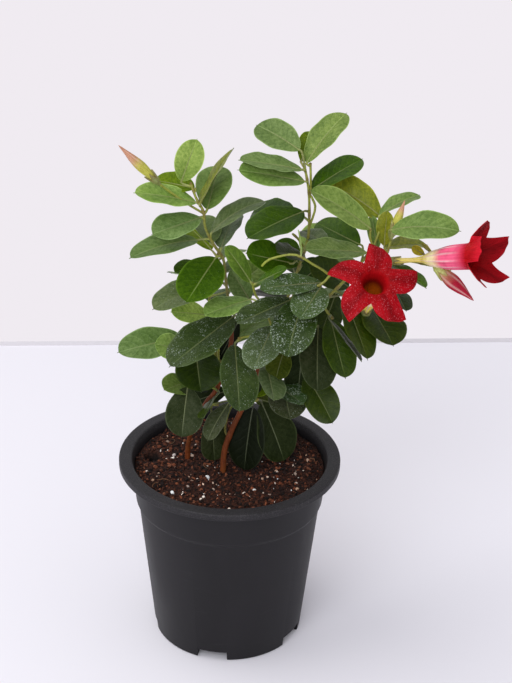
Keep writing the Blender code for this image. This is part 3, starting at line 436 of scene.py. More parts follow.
def smooth_route(points, step):
    """Points about a step apart on a Catmull-Rom curve through the given ones."""
    nodes = [Vector(p) for p in points]
    ends = [nodes[0] * 2 - nodes[1]] + nodes + [nodes[-1] * 2 - nodes[-2]]
    route = []
    for a, b, c, d in zip(ends, ends[1:], ends[2:], ends[3:]):
        pieces = max(1, round((c - b).length / step))
        for t in (k / pieces for k in range(pieces)):
            route.append(0.5 * (2 * b + (c - a) * t + (2 * a - 5 * b + 4 * c - d) * t * t
                                + (3 * b - a - 3 * c + d) * t ** 3))
    return route + [nodes[-1]]


def along_profile(profile, share):
    """The value of a profile of (share, value) pairs at a share."""
    for (a, low), (b, high) in zip(profile, profile[1:]):
        if share <= b:
            return low + (high - low) * (share - a) / (b - a)
    return profile[-1][1]


def along_curve(profile, share):
    """As along_profile, but on a smooth curve through the pairs."""
    slopes = [(q[1] - p[1]) / (q[0] - p[0]) for p, q in zip(profile, profile[1:])]
    leans = [slopes[0]] + [(a + b) / 2 for a, b in zip(slopes, slopes[1:])] + [slopes[-1]]
    for k in range(len(profile) - 1):
        (a, low), (b, high) = profile[k], profile[k + 1]
        if share <= b or k == len(profile) - 2:
            t = (share - a) / (b - a)
            return ((1 + 2 * t) * (1 - t) ** 2 * low + t * t * (3 - 2 * t) * high
                    + (b - a) * (t * (1 - t) ** 2 * leans[k] - t * t * (1 - t) * leans[k + 1]))


def nearest_on(routes, point):
    """The nearest point of several routes: how far it is, where, and the way that route runs there."""
    best = None
    for route in routes:
        for a, b in zip(route, route[1:]):
            run = b - a
            spot = a + run * max(0.0, min(1.0, (point - a).dot(run) / run.length_squared))
            gap = (point - spot).length
            if best is None or gap < best[0]:
                best = (gap, spot, run.normalized())
    return best


def mesh_of(name, points, faces):
    mesh = bpy.data.meshes.new(name)
    mesh.from_pydata(points, [], faces)
    return mesh


def linked(name, data):
    """A new object that holds the data, in the scene."""
    made = bpy.data.objects.new(name, data)
    bpy.context.scene.collection.objects.link(made)
    return made


def settle(piece, slot, *nodes):
    """The piece rides on the plant's one body and stands for the nodes. The slot is not used."""
    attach(piece, "root")
    if nodes:
        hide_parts(*nodes)


class Shape:
    """Points and faces of one piece in millimetres. Each point also holds a colour, and a place on its blade:
    across, along, and how thickly dew lies there."""

    def __init__(self):
        self.points, self.tints, self.blades, self.faces, self.slots = [], [], [], [], []

    def add(self, place, tint, blade=(0.0, 0.0, 0.0)):
        self.points.append(place * MM)
        self.tints.append(tint)
        self.blades.append(blade)
        return len(self.points) - 1

    def face(self, corners, slot=0):
        self.faces.append(tuple(corners))
        self.slots.append(slot)

    def strip(self, low, high, slot=0, closed=True):
        """Four-sided faces between two rows of points."""
        count = len(low)
        for n in range(count if closed else count - 1):
            m = (n + 1) % count
            self.face((low[n], low[m], high[m], high[n]), slot)

    def grid(self, rows, columns, point_at):
        """Rows of points; point_at gives a point's place, tint and blade place for its row and column."""
        return [[self.add(*point_at(k, n)) for n in range(columns)] for k in range(rows)]

    def fan(self, ring, middle, slot=0):
        for a, b in zip(ring, ring[1:] + ring[:1]):
            self.face((a, b, middle), slot)

    def skin(self, rings, slot=0, ends=()):
        """A closed skin over a row of rings. Each end is a fan round its own middle, or else one face."""
        for low, high in zip(rings, rings[1:]):
            self.strip(low, high, slot)
        for ring, middle in zip((rings[0][::-1], rings[-1]), ends or (None, None)):
            if middle is None:
                self.face(ring, slot)
            else:
                self.fan(ring, self.add(*middle), slot)

    def tube(self, route, radii, tints, sides, slot=0):
        """A tube with rounded ends; radii and tints hold one value for each point of the route."""
        tangents = [(b - a).normalized() for a, b in zip([route[0]] + route[:-1], route[1:] + [route[-1]])]
        side = tangents[0].orthogonal().normalized()
        rings = []
        for centre, tangent, radius, tint in zip(route, tangents, radii, tints):
            side = (side - tangent * side.dot(tangent)).normalized()
            other = tangent.cross(side)
            rings.append([self.add(centre + spoke(side, other, tau * n / sides) * radius, tint)
                          for n in range(sides)])
        for low, high in zip(rings, rings[1:]):
            self.strip(low, high, slot)
        for k, way in ((0, -1), (-1, 1)):
            self.fan(rings[k], self.add(route[k] + tangents[k] * radii[k] * 0.6 * way, tints[k]), slot)

    def made(self, name, materials, sharp=60.0):
        mesh = mesh_of(name, self.points, self.faces)
        for finish in materials:
            mesh.materials.append(finish)
        mesh.polygons.foreach_set("material_index", self.slots)
        tint = mesh.color_attributes.new("tint", "FLOAT_COLOR", "POINT")
        tint.data.foreach_set("color", [value for colour in self.tints for value in (*colour, 1.0)])
        blade = mesh.attributes.new("blade", "FLOAT_VECTOR", "POINT")
        blade.data.foreach_set("vector", [value for place in self.blades for value in place])
        shape = bmesh.new()
        shape.from_mesh(mesh)
        bmesh.ops.recalc_face_normals(shape, faces=shape.faces)
        shape.to_mesh(mesh)
        shape.free()
        mesh.shade_smooth()
        mesh.set_sharp_from_angle(angle=radians(sharp))
        return linked(name, mesh)


class Paint:
    """The shader nodes of one material, or of the sky."""

    def __init__(self, name, world=False):
        self.owner = (bpy.data.worlds if world else bpy.data.materials).new(name)
        self.owner.use_nodes = True
        self.tree = self.owner.node_tree
        self.shader = self.tree.nodes["Background" if world else "Principled BSDF"]

    def feed(self, node, key, value):
        """An input gets a value, or a link where the value is another node's output."""
        if isinstance(value, bpy.types.NodeSocket):
            self.tree.links.new(value, node.inputs[key])
        else:
            node.inputs[key].default_value = value

    def add(self, kind, inputs=None, **settings):
        made = self.tree.nodes.new("ShaderNode" + kind)
        for key, value in settings.items():
            setattr(made, key, value)
        for key, value in (inputs or {}).items():
            self.feed(made, key, value)
        return made.outputs

    def calc(self, operation, *values):
        return self.add("Math", dict(enumerate(values)), operation=operation)[0]

    def times(self, a, b, plus=None):
        return self.calc("MULTIPLY", a, b) if plus is None else self.calc("MULTIPLY_ADD", a, b, plus)

    def rise(self, value, low, high, start=0.0, end=1.0):
        """A smooth change from start to end as the value goes from low to high."""
        return self.add("MapRange", {0: value, 1: low, 2: high, 3: start, 4: end},
                        interpolation_type="SMOOTHSTEP")[0]

    def mix(self, share, a, b, way="MIX"):
        a, b = ((*c, 1.0) if isinstance(c, tuple) else c for c in (a, b))
        return self.add("Mix", {0: share, 6: a, 7: b}, data_type="RGBA", blend_type=way)[2]

    def shade(self, colour, share, tone):
        return self.mix(share, colour, tone, "MULTIPLY")

    def where(self, squash=None):
        """The place on the object, with its height scaled where squash is given."""
        place = self.add("TexCoord")["Object"]
        if squash is None:
            return place
        return self.add("Mapping", {"Vector": place, "Scale": (1.0, 1.0, squash)})[0]

    def noise(self, where, scale, detail=3.0, roughness=0.55):
        """Noise whose features are about 1/scale metres across."""
        return self.add("TexNoise", {"Vector": where, "Scale": scale, "Detail": detail,
                                     "Roughness": roughness})["Fac"]

    def tint(self):
        return self.add("Attribute", attribute_name="tint")["Color"]

    def blade(self):
        """A point's place across and along its blade, and how thickly dew lies there."""
        return self.add("SeparateXYZ", {0: self.add("Attribute", attribute_name="blade")["Vector"]})

    def dew(self, amount, scale):
        """One on small round drops, nought between them. The amount, from nought to one, widens the drops."""
        cells = self.add("TexVoronoi", {"Vector": self.where(), "Scale": scale})
        pick = self.add("SeparateColor", {0: cells["Color"]})[0]
        radius = self.times(amount, self.times(pick, 0.32, 0.14))
        return self.rise(self.calc("SUBTRACT", radius, cells["Distance"]), 0.0, 0.10)

    def done(self, colour, rough, gloss, bump=None):
        """The finished material; bump is a height with its strength and its depth in millimetres."""
        for key, value in (("Base Color", colour), ("Roughness", rough), ("Specular IOR Level", gloss)):
            self.feed(self.shader, key, value)
        if bump:
            normal = self.add("Bump", {"Height": bump[0], "Strength": bump[1], "Distance": bump[2] * MM})
            self.feed(self.shader, "Normal", normal["Normal"])
        return self.owner


# Materials

def leaf_material(name, gloss):
    """Green blade with a paler midrib, side veins and margin, mottled, with broad patches of painted sheen and
    painted shade, painted light and shade across each quilt between the side veins, and dew drawn as pale painted
    glints where the piece says so.
    """
    p = Paint(name)
    where, tint = p.where(), p.tint()
    side, along, wet = p.blade()
    across = p.calc("ABSOLUTE", side)
    mottle, sheen_and_shade_patches = p.noise(where, 560.0, 5.0, 0.75), p.noise(where, 60.0, 2.0)
    colour = p.shade(tint, p.rise(mottle, 0.38, 0.64, 0.0, 0.75), (0.45, 0.56, 0.35))
    # Broad patches: the lighter, bluer ones are painted sheen and the darker ones are painted shade
    colour = p.shade(colour, p.rise(sheen_and_shade_patches, 0.48, 0.72, 0.0, 0.6), (1.50, 1.38, 1.7))
    colour = p.shade(colour, p.rise(sheen_and_shade_patches, 0.52, 0.32, 0.0, 0.6), (0.62, 0.70, 0.52))
    warp = p.times(p.noise(where, 90.0, 2.0), 1.3)
    cell = p.calc("FRACT", p.calc("ADD", warp, p.times(along, 8.0, p.times(across, -1.9))))
    # Painted light and shade: each cell between side veins is lighter on one side and darker on the other, as if lit
    # across its quilting
    quilt_light_and_shade = p.mix(p.rise(cell, 0.1, 0.9), (1.08, 1.06, 1.12), (0.90, 0.92, 0.87))
    colour = p.shade(colour, p.rise(across, 0.05, 0.25), quilt_light_and_shade)
    rib, edge = p.rise(across, 0.02, 0.06, 0.62, 0.0), p.rise(across, 0.90, 0.99, 0.0, 0.8)
    vein = p.rise(p.calc("ABSOLUTE", p.calc("SUBTRACT", cell, 0.5)), 0.42, 0.5)
    vein = p.times(vein, p.rise(across, 0.1, 0.95, 0.26, 0.06))
    pale = p.mix(1.0, p.shade(tint, 1.0, (1.75, 1.65, 2.2)), (0.012, 0.016, 0.007), "ADD")
    colour = p.mix(p.calc("MAXIMUM", p.calc("MAXIMUM", rib, vein), edge), colour, pale)
    patches = p.times(wet, p.rise(p.noise(where, 150.0, 3.0), 0.36, 0.60, 0.55, 1.15))
    dew_glints = p.calc("MAXIMUM", p.dew(patches, 840.0), p.times(p.dew(patches, 1400.0), 0.8))
    # Dew drops are painted pale: painted glints of the water, besides their real bump and lower roughness
    colour = p.mix(p.times(dew_glints, p.rise(wet, 0.0, 0.8, 0.2, 0.66)), colour, (0.38, 0.45, 0.37))
    rough = p.times(dew_glints, -0.12, p.rise(mottle, 0.3, 0.7, 0.30, 0.46))
    return p.done(colour, rough, gloss, (p.times(vein, -1.6, p.times(dew_glints, 0.9, mottle)), 0.75, 0.35))


def stalk_material():
    p = Paint("green_stalk")
    grain = p.noise(p.where(), 900.0, 4.0)
    colour = p.shade(p.tint(), p.rise(grain, 0.35, 0.7, 0.0, 0.7), (0.62, 0.55, 0.50))
    return p.done(colour, p.rise(grain, 0.3, 0.7, 0.42, 0.6), 0.5, (grain, 0.4, 0.3))


def bark_material():
    """Smooth reddish-brown bark with lengthwise streaks and small pale pores."""
    p = Paint("stem_bark")
    streak, patch = p.noise(p.where(0.16), 1400.0, 4.0), p.noise(p.where(), 160.0, 3.0)
    colour = p.shade(p.tint(), p.rise(streak, 0.35, 0.7, 0.0, 0.8), (0.50, 0.42, 0.36))
    colour = p.mix(p.rise(patch, 0.52, 0.75, 0.0, 0.4), colour, (0.20, 0.072, 0.014))
    pores = p.dew(0.5, 420.0)
    colour = p.mix(p.times(pores, 0.22), colour, (0.30, 0.14, 0.055))
    rough = p.rise(streak, 0.3, 0.7, 0.55, 0.75)
    return p.done(colour, rough, 0.25, (p.calc("ADD", streak, pores), 0.55, 0.35))


def petal_material():
    """Velvety petals with fine lengthwise veins and dew, drawn as pale painted glints."""
    p = Paint("petal_skin")
    side, along, wet = p.blade()
    lengthwise = p.add("CombineXYZ", {0: p.times(side, 26.0), 1: p.times(along, 2.2)})[0]
    veins, cloud = p.noise(lengthwise, 1.0, 3.0), p.noise(p.where(), 320.0, 3.0)
    colour = p.shade(p.tint(), p.rise(veins, 0.40, 0.68, 0.0, 0.65), (0.55, 0.42, 0.42))
    colour = p.shade(colour, p.rise(cloud, 0.4, 0.75, 0.0, 0.45), (0.66, 0.55, 0.55))
    dew_glints = p.calc("MAXIMUM", p.dew(wet, 1050.0), p.times(p.dew(wet, 1800.0), 0.7))
    # Painted glints: dew drops are painted pale over the crimson
    colour = p.mix(p.times(dew_glints, 0.6), colour, (0.60, 0.14, 0.17))
    rough = p.times(dew_glints, -0.25, p.rise(cloud, 0.3, 0.7, 0.46, 0.58))
    return p.done(colour, rough, 0.05, (p.times(dew_glints, 0.8, veins), 0.4, 0.3))


def pot_material():
    """Charcoal moulded plastic: faint flow marks, fine grain, scuffs that show paler, and a paler rim top that is
    partly dust and partly a painted highlight.
    """
    p = Paint("pot_plastic")
    grain = p.noise(p.where(), 1600.0, 3.0)
    flow, scuff = p.noise(p.where(0.35), 38.0, 4.0), p.noise(p.where(6.0), 55.0, 5.0)
    colour = p.mix(p.rise(flow, 0.35, 0.7), (0.0078, 0.0071, 0.0085), (0.0115, 0.0105, 0.0125))
    colour = p.mix(p.rise(scuff, 0.62, 0.80, 0.0, 0.45), colour, (0.022, 0.021, 0.024))
    height = p.add("SeparateXYZ", {0: p.where()})[2]
    # Paler towards the rim's top: part dust, part painted highlight where the rim catches the light
    dust_and_sheen = p.times(p.rise(height, 0.108, 0.1155), p.rise(grain, 0.45, 0.7, 0.10, 0.55))
    colour = p.mix(dust_and_sheen, colour, (0.078, 0.074, 0.079))
    return p.done(colour, p.rise(flow, 0.3, 0.7, 0.44, 0.56), 0.22, (p.times(scuff, 0.6, grain), 0.25, 0.12))


def mix_material():
    """Damp coir and peat: dark, fibrous and matt, with painted shade making it near black in the low pits of its
    grain and darker in the finger hole.
    """
    p = Paint("soil_mix")
    grain, patch = p.noise(p.where(), 700.0, 6.0, 0.7), p.noise(p.where(), 110.0, 3.0)
    # Painted shade: near black where the grain, which is also the bump, lies low
    colour = p.mix(p.rise(grain, 0.35, 0.7), (0.004, 0.0015, 0.001), (0.075, 0.020, 0.009))
    colour = p.shade(colour, p.rise(patch, 0.4, 0.7, 0.0, 0.6), (0.55, 0.50, 0.50))
    # The tint holds the painted shade of the finger hole
    colour = p.shade(colour, 1.0, p.tint())
    return p.done(colour, p.rise(grain, 0.3, 0.7, 0.95, 0.75), 0.25, (grain, 0.8, 1.0))


def crumb_material(name, low, high, rough):
    """Loose bits, each in its own tint, with painted shade darkening their pits."""
    p = Paint(name)
    grain = p.noise(p.where(), 1500.0, 5.0, 0.65)
    # Painted shade: darker where the grain, and so the bump, lies low
    colour = p.shade(p.tint(), p.rise(grain, low, high, 1.0, 0.0), (0.38, 0.34, 0.34))
    return p.done(colour, p.rise(grain, 0.3, 0.7, rough, rough - 0.15), 0.3, (grain, 0.7, 0.5))


def stage_material(name, tints):
    p = Paint(name)
    return p.done(p.mix(p.rise(p.noise(p.where(), 1.2, 2.0), 0.3, 0.7), *tints), 0.85, 0.1)


# Camera and stage

def make_camera():
    data = bpy.data.cameras.new("camera")
    data.sensor_fit = "VERTICAL"
    data.sensor_height = SENSOR
    data.lens = FOCAL_PIXELS / IMAGE_HEIGHT * SENSOR
    camera = linked("camera", data)
    pitch, yaw, roll = (radians(v) for v in (CAMERA_PITCH, CAMERA_YAW, CAMERA_ROLL))
    forward = Vector((sin(yaw) * cos(pitch), cos(yaw) * cos(pitch), -sin(pitch)))
    right = Vector((cos(yaw), -sin(yaw), 0.0))
    up = right.cross(forward)
    placed = Matrix((spoke(right, up, roll), spoke(up, -right, roll), -forward)).transposed().to_4x4()
    placed.translation = Vector(CAMERA_PLACE) * MM
    camera.matrix_world = placed
    bpy.context.scene.camera = camera


def make_lamp(name, place, size, power, colour):
    data = bpy.data.lights.new(name, "AREA")
    data.shape = "DISK"
    data.size = size * MM
    data.energy = power
    data.color = colour
    made = linked(name, data)
    made.location = Vector(place) * MM
    made.rotation_euler = (Vector(AIM) - Vector(place)).to_track_quat("-Z", "Y").to_euler()


def stage_sheet(name, corners, tints):
    mesh = mesh_of(name, [Vector(p) * MM for p in corners], [(0, 1, 2, 3)])
    mesh.materials.append(stage_material("studio_" + name, tints))
    linked(name, mesh)


def make_stage():
    """A pale floor that ends behind the plant in a low ledge, darker than the floor as painted shade for the shadow
    line there, under an even grey light from above.
    """
    half, low, (left, right) = FLOOR_HALF, -FLOOR_DROP, FLOOR_BACK
    back = [(half, right, low), (-half, left, low)]
    stage_sheet("floor", [(-half, -half, low), (half, -half, low), *back], FLOOR_TINTS)
    stage_sheet("ledge", [*back[::-1], (half, right, LEDGE_HEIGHT), (-half, left, LEDGE_HEIGHT)], SHADOW_LINE_TINTS)
    for name, row in LAMPS.items():
        make_lamp(name, *row)
    p = Paint("studio", world=True)
    up = p.add("SeparateXYZ", {0: p.add("TexCoord")["Generated"]})[2]
    p.feed(p.shader, "Color", p.mix(p.rise(up, -0.1, 0.1), WALL_GLOW, SKY))
    bpy.context.scene.world = p.owner
    bpy.context.scene.view_settings.view_transform = "Standard"


# Leaves, twigs and stems

def blade_axes(base, tip, roll):
    """The midrib's direction, the way the upper face looks, and the way across."""
    along = (tip - base).normalized()
    heading = atan2(along.y, along.x)
    rise = asin(max(-1.0, min(1.0, along.z)))
    up = Vector((-cos(heading) * sin(rise), -sin(heading) * sin(rise), cos(rise)))
    up = Matrix.Rotation(radians(roll), 3, along) @ up
    return along, up, along.cross(up)


def fine_leaf(shape, routes, tone, row, chance):
    """A stalk that runs on as the rib under a thin blade, folded along it, with waved margins."""
    base, tip = Vector(row[:3]), Vector(row[3:6])
    width, roll, arch = (*row[6:], LEAF_ARCH)[:3]
    skin = 2 if tone in MATT_TONES else 0
    stalk_tint = LEAF_TONES[tone][4:]
    colour = varied(LEAF_TONES[tone][:3], chance, LEAF_SPREAD)
    wet = max(0.0, min(1.0, LEAF_TONES[tone][3] * chance.uniform(*WET_SPREAD)))
    along, up, across = blade_axes(base, tip, roll)
    length = (tip - base).length
    twist = radians(chance.uniform(-LEAF_TWIST, LEAF_TWIST))
    sway = chance.uniform(-LEAF_SWAY, LEAF_SWAY)
    waves, start = chance.uniform(*MARGIN_WAVES), chance.uniform(0.0, tau)
    under_tint = blend(colour, UNDERSIDE, 0.5)
    spine, rows = [], []
    for t in STATIONS:
        bow = 4 * t * (1 - t)
        middle = base + along * length * t + (up * arch + across * sway) * length * bow
        turn = Matrix.Rotation(twist * (t - 0.5) * 2, 3, along)
        out, lift = turn @ across, turn @ up
        oval = min(1.0, t / BLADE_END) ** BLADE_SKEW
        least = END_HALF_WIDTH * (1 - ease(0.9, 1.0, t)) + 0.05
        half = max(sqrt(4 * oval * (1 - oval)) * width / 2, least)
        spine.append(middle - lift * LEAF_THICKNESS * 0.6)
        top, under = [], []
        for share in COLUMNS:
            a = abs(share)
            phase = start + (pi * MARGIN_SHIFT if share < 0 else 0.0)
            wave = MARGIN_WAVE * width * sin(tau * waves * t + phase) * a ** 3 * bow
            pillow = PILLOW * half * sin(pi * a) - RIB_GROOVE * exp(-(a / RIB_SPREAD) ** 2) * bow
            vein = VEIN_DEPTH * cos(tau * (VEINS * t - VEIN_SLANT * a)) * sin(pi * a) * bow
            fold = BLADE_FOLD * half * a ** FOLD_POWER
            place = middle + out * half * share + lift * (fold + wave + pillow - vein)
            top.append(shape.add(place, colour, (share, t, wet)))
            if a < 1.0:
                thick = LEAF_THICKNESS * (1 - LEAF_THINNING * a * a)
                under.append(shape.add(place - lift * thick, under_tint, (share, t, wet * UNDER_WET)))
        rows.append((top, [top[0]] + under + [top[-1]]))
    for (top, under), (next_top, next_under) in zip(rows, rows[1:]):
        shape.strip(top, next_top, skin, False)
        shape.strip(under[::-1], next_under[::-1], skin, False)
    for top, under in (rows[0], rows[-1]):
        shape.face(top + under[-2:0:-1], skin)
    gap, spot, run = nearest_on(routes, base)
    root = nearest_on(routes, spot - run * max(gap * STALK_SLANT, STALK_GRIP))[1]
    bend = base - along * gap * STALK_BEND
    route = smooth_route([root, root.lerp(bend, 0.55), bend.lerp(base, 0.45), spine[1]], FINE_STEP / 2)
    radii = [STALK_RADIUS * (1.25 - 0.35 * min(1.0, k / 4)) for k in range(len(route))]
    tints = [blend(TWIG_TOP_TINT, stalk_tint, min(1.0, k / 3)) for k in range(len(route))]
    first, last = RIB_STATIONS[0], len(STATIONS) - RIB_STATIONS[1]
    for k in range(first, last):
        fade = (k - first) / (last - first)
        route.append(spine[k])
        radii.append(STALK_RADIUS * (0.85 - 0.65 * fade))
        tints.append(blend(stalk_tint, under_tint, 0.3 + 0.5 * fade))
    light = 1.0 + chance.uniform(-STALK_SPREAD, STALK_SPREAD)
    shape.tube(route, radii, [scaled(tint, light) for tint in tints], STALK_SIDES, 1)


def fine_twig(shape, route, first, last, knots, low_tint):
    """A twig that swells where a stalk leaves it."""
    radii, tints = [], []
    for k, point in enumerate(route):
        share = k / (len(route) - 1)
        near = min([(point - knot).length for knot in knots] or [inf])
        knot = exp(-(near / NODE_REACH) ** 2)
        radii.append((first + (last - first) * k / (len(route) - 1)) * TWIG_SLIM * (1 + NODE_SWELL * knot))
        tint = blend(blend(low_tint, TWIG_TOP_TINT, share), NODE_TINT, 0.7 * knot)
        tints.append(scaled(tint, 1 + noise.noise(point * 0.35) * 0.2))
    shape.tube(route, radii, tints, TWIG_SIDES, 1)


def make_foliage(name, finishes):
    twigs, leaves = SHOOTS[name]
    twigs = [[[float(v) for v in row.split()] for row in twig.split(",")] for twig in twigs.split(";")]
    leaves = [(row.split()[0], [float(v) for v in row.split()[1:]]) for row in leaves.split(",")]
    chance = random.Random(name)
    shape = Shape()
    clear = [smooth_route(points, STALK_SEARCH_STEP)[1:] for *points, radii in twigs]
    knots = [nearest_on(clear, Vector(row[:3]))[1] for tone, row in leaves]
    for k, (*points, radii) in enumerate(twigs):
        low = blend(TWIG_FOOT_TINT, TWIG_TOP_TINT, 0.6) if k else TWIG_FOOT_TINT
        fine_twig(shape, smooth_route(points, FINE_STEP), *radii, knots, low)
    for tone, row in leaves:
        fine_leaf(shape, clear, tone, row, chance)
    for flower in CUPS.get(name, []):
        flower_cup(shape, flower)
    settle(shape.made(name.replace("shoot", "foliage"), finishes), "leaf_green", name)


def make_stems(bark):
    """The woody stems, a little lumpy and ringed."""
    every, swell, spread = STEM_RING
    for name, stem in WOODY.items():
        route = smooth_route(stem["route"], STEM_STEP)
        first, last = stem["radii"]
        radii, tints = [], []
        for k, point in enumerate(route):
            ring = exp(-((k % every - every // 2) / spread) ** 2)
            lump = 1 + STEM_LUMP * noise.noise(point * 0.22) + swell * ring
            radii.append((first + (last - first) * k / (len(route) - 1)) * lump)
            tints.append(scaled(BARK_TINT, 1 + 0.35 * noise.noise(point * 0.12)))
        shape = Shape()
        shape.tube(route, radii, tints, STEM_SIDES)
        settle(shape.made(name + "_bark", [bark]), "stem_bark", name)


# Blooms, buds and their cups

def axis_frame(row):
    """The way a bloom faces, a level way across it, and the third way."""
    h, r = radians(row["heading"]), radians(row["rise"])
    facing = Vector((cos(h) * cos(r), sin(h) * cos(r), sin(r)))
    across = Vector((0, 0, 1)).cross(facing).normalized()
    return facing, across, facing.cross(across)


def fine_cup(shape, foot, way, flower_radius, light):
    """A calyx with five pointed sepals that hug the flower's foot."""
    # The cup's green is lightened by its painted light
    green = scaled(CUP_TINT, light)
    side = way.orthogonal().normalized()
    columns, notch = SEPALS * SEPAL_COLUMNS, SEPAL_LENGTH * SEPAL_NOTCH

    def ring(low, part, extra, ridge, tint):
        """Points at a part of the way from a low height up to the sepals' edge, and so far off the flower."""
        row = []
        for n in range(columns):
            share = n / SEPAL_COLUMNS % 1.0
            top = notch + (SEPAL_LENGTH - notch) * (1 - abs(2 * share - 1)) ** 1.15
            height = low + (top - low) * part
            radius = flower_radius(max(0.0, height)) + extra - ridge * cos(tau * share)
            out = Matrix.Rotation(tau * n / columns, 3, way) @ side
            row.append(shape.add(foot + way * height + out * radius, tint))
        return row

    inner = flower_radius(0.0)
    places = [(-CUP_LENGTH, 0.0, CUP_FOOT - inner), (-CUP_LENGTH * 0.55, 0.0, GAP - inner * 0.25)]
    places += [(-CUP_WAIST, k / 6, GAP + CUP_THICKNESS) for k in range(7)]
    rings = [ring(*place, SEPAL_RIDGE if k else 0.0, blend(green, SEPAL_TINT, ease(0.5, 1.0, k / 8) * 0.5))
             for k, place in enumerate(places)]
    rings += [ring(-GAP, k / 6, CUP_INSET, 0.0, green) for k in range(6, -1, -1)]
    shape.skin(rings, 1)


def flower_cup(shape, name):
    if name in BLOOMS:
        row = BLOOMS[name]
        facing = axis_frame(row)[0]
        foot = Vector(row["mouth"]) - facing * row["length"]
        fine_cup(shape, foot, facing, lambda h: along_profile(row["funnel"], h / row["length"] - 1.0), 1.0)
        return
    row = BUDS[name]
    base, tip = Vector(row["base"]), Vector(row["tip"])
    length = (tip - base).length
    fine_cup(shape, base, (tip - base) / length,
             lambda h: row["radius"] * along_profile(BUD_PROFILE, h / length), CUP_PAINTED_LIGHT.get(name, 1.0))


def lobe_edge(share):
    """How far out a lobe's edge lies, from its notch to its tip, at a share of the lobe's angle."""
    return max(0.0, along_curve(LOBE_RISE if share <= LOBE_TIP else LOBE_FALL, share))


def limb_tint(radius, share, light):
    """Crimson, darker towards the throat, with painted shade along each lobe's middle fold, a little brighter near
    the margin, and scaled by the bloom's painted shade.
    """
    colour = blend(LIMB_INNER, LIMB_OUTER, ease(8.0, 17.0, radius))
    return scaled(blend(colour, LIMB_FOLD_SHADE, 0.85 * exp(-((share - 0.52) / 0.13) ** 2)), light)


def tube_tint(share, column):
    """Outside of the funnel: yellow at the foot, then cream, then pink with pale stripes, then crimson."""
    colour = blend(blend(YELLOW, CREAM, ease(0.40, 0.53, share)), PINK, ease(0.55, 0.68, share))
    stripe = max(0.0, cos(tau * column / LOBE_COLUMNS * 2)) ** 3
    colour = blend(colour, PALE_STRIPE, stripe * 0.8 * (1 - ease(0.70, 0.98, share)))
    return blend(colour, CRIMSON, ease(0.84, 1.0, share))


def throat_tint(share):
    """Inside of the funnel: crimson, then nearly black, then orange."""
    near, dark, deep = THROAT_TINTS
    return blend(blend(near, dark, ease(0.1, 0.4, share)), deep, ease(0.35, 0.7, share))


def make_bloom(name, petal):
    """A funnel that opens from a narrow tube into a throat and a limb of five turned lobes."""
    row = BLOOMS[name]
    facing, across, third = axis_frame(row)
    mouth, length, notch = Vector(row["mouth"]), row["length"], row["notch"]
    # light is how light the inner face is painted, darker as painted shade where the bloom's inside lies in shade
    wet, light = BLOOM_LOOKS[name]
    shape = Shape()

    def ring(point_at, along, damp):
        """A row of points; point_at gives radius, height and tint for a column and its share of the lobe."""
        made = []
        for n in range(LOBES * LOBE_COLUMNS):
            radius, height, tint = point_at(n, n % LOBE_COLUMNS / LOBE_COLUMNS)
            way = radians(row["turn"]) + tau * n / (LOBES * LOBE_COLUMNS)
            place = mouth + spoke(across, third, way) * radius + facing * height
            made.append(shape.add(place, tint, (n / LOBE_COLUMNS, along, damp)))
        return made

    def limb_ring(part, lift):
        def point_at(n, share):
            reach, before = row["lobes"][n // LOBE_COLUMNS]
            edge = notch + (reach - notch) * lobe_edge(share)
            radius = THROAT_RADIUS + (edge - THROAT_RADIUS) * part
            bow = (radius - THROAT_RADIUS) / (reach - THROAT_RADIUS)
            free = max(0.0, radius - notch) / (reach - notch)
            tilt = LOBE_TILT * (share - 0.5) * free
            ripple = LOBE_RIPPLE * sin(n * 0.9) * free * free
            height = (LIMB_STEP * (1 - part) * ease(0.0, 0.4, part) + before * bow ** row["bow"]
                      + tilt + ripple + lift)
            back = blend(BACK_INNER, BACK_OUTER, ease(0.3, 1.0, part))
            return radius, height, limb_tint(radius, share, light) if lift else back

        return ring(point_at, 1.0 + part, wet if lift else wet * 0.3)

    rings = []
    for k in range(TUBE_ROWS + 1):
        share = -1.0 + 0.96 * k / TUBE_ROWS
        radius = along_curve(row["funnel"], share)
        rings.append(ring(lambda n, s: (radius * (1 + TUBE_FLUTE * cos(tau * s * 2)), share * length,
                                        tube_tint(1 + share, n % LOBE_COLUMNS)), 1 + share, 0.0))
    rings += [limb_ring(k / LIMB_ROWS, 0.0) for k in range(1, LIMB_ROWS + 1)]
    rings += [limb_ring(k / LIMB_ROWS, FINE_PETAL) for k in range(LIMB_ROWS, 0, -1)]
    for k in range(THROAT_ROWS + 1):
        part = k / THROAT_ROWS
        share = -0.03 - (THROAT_DEPTH - 0.03) * k / THROAT_ROWS
        radius = max(1.0, along_curve(row["funnel"], share) - FINE_PETAL)
        radius *= (1 - 0.2 * ease(0.0, 0.4, part)) * (1 - 0.5 * ease(0.8, 1.0, part))
        rings.append(ring(lambda n, s: (radius, share * length, throat_tint(part)), 0.9, 0.0))
    shape.skin(rings)
    settle(shape.made(name.replace("bloom", "flower"), [petal], 75.0), "petal_red", name)


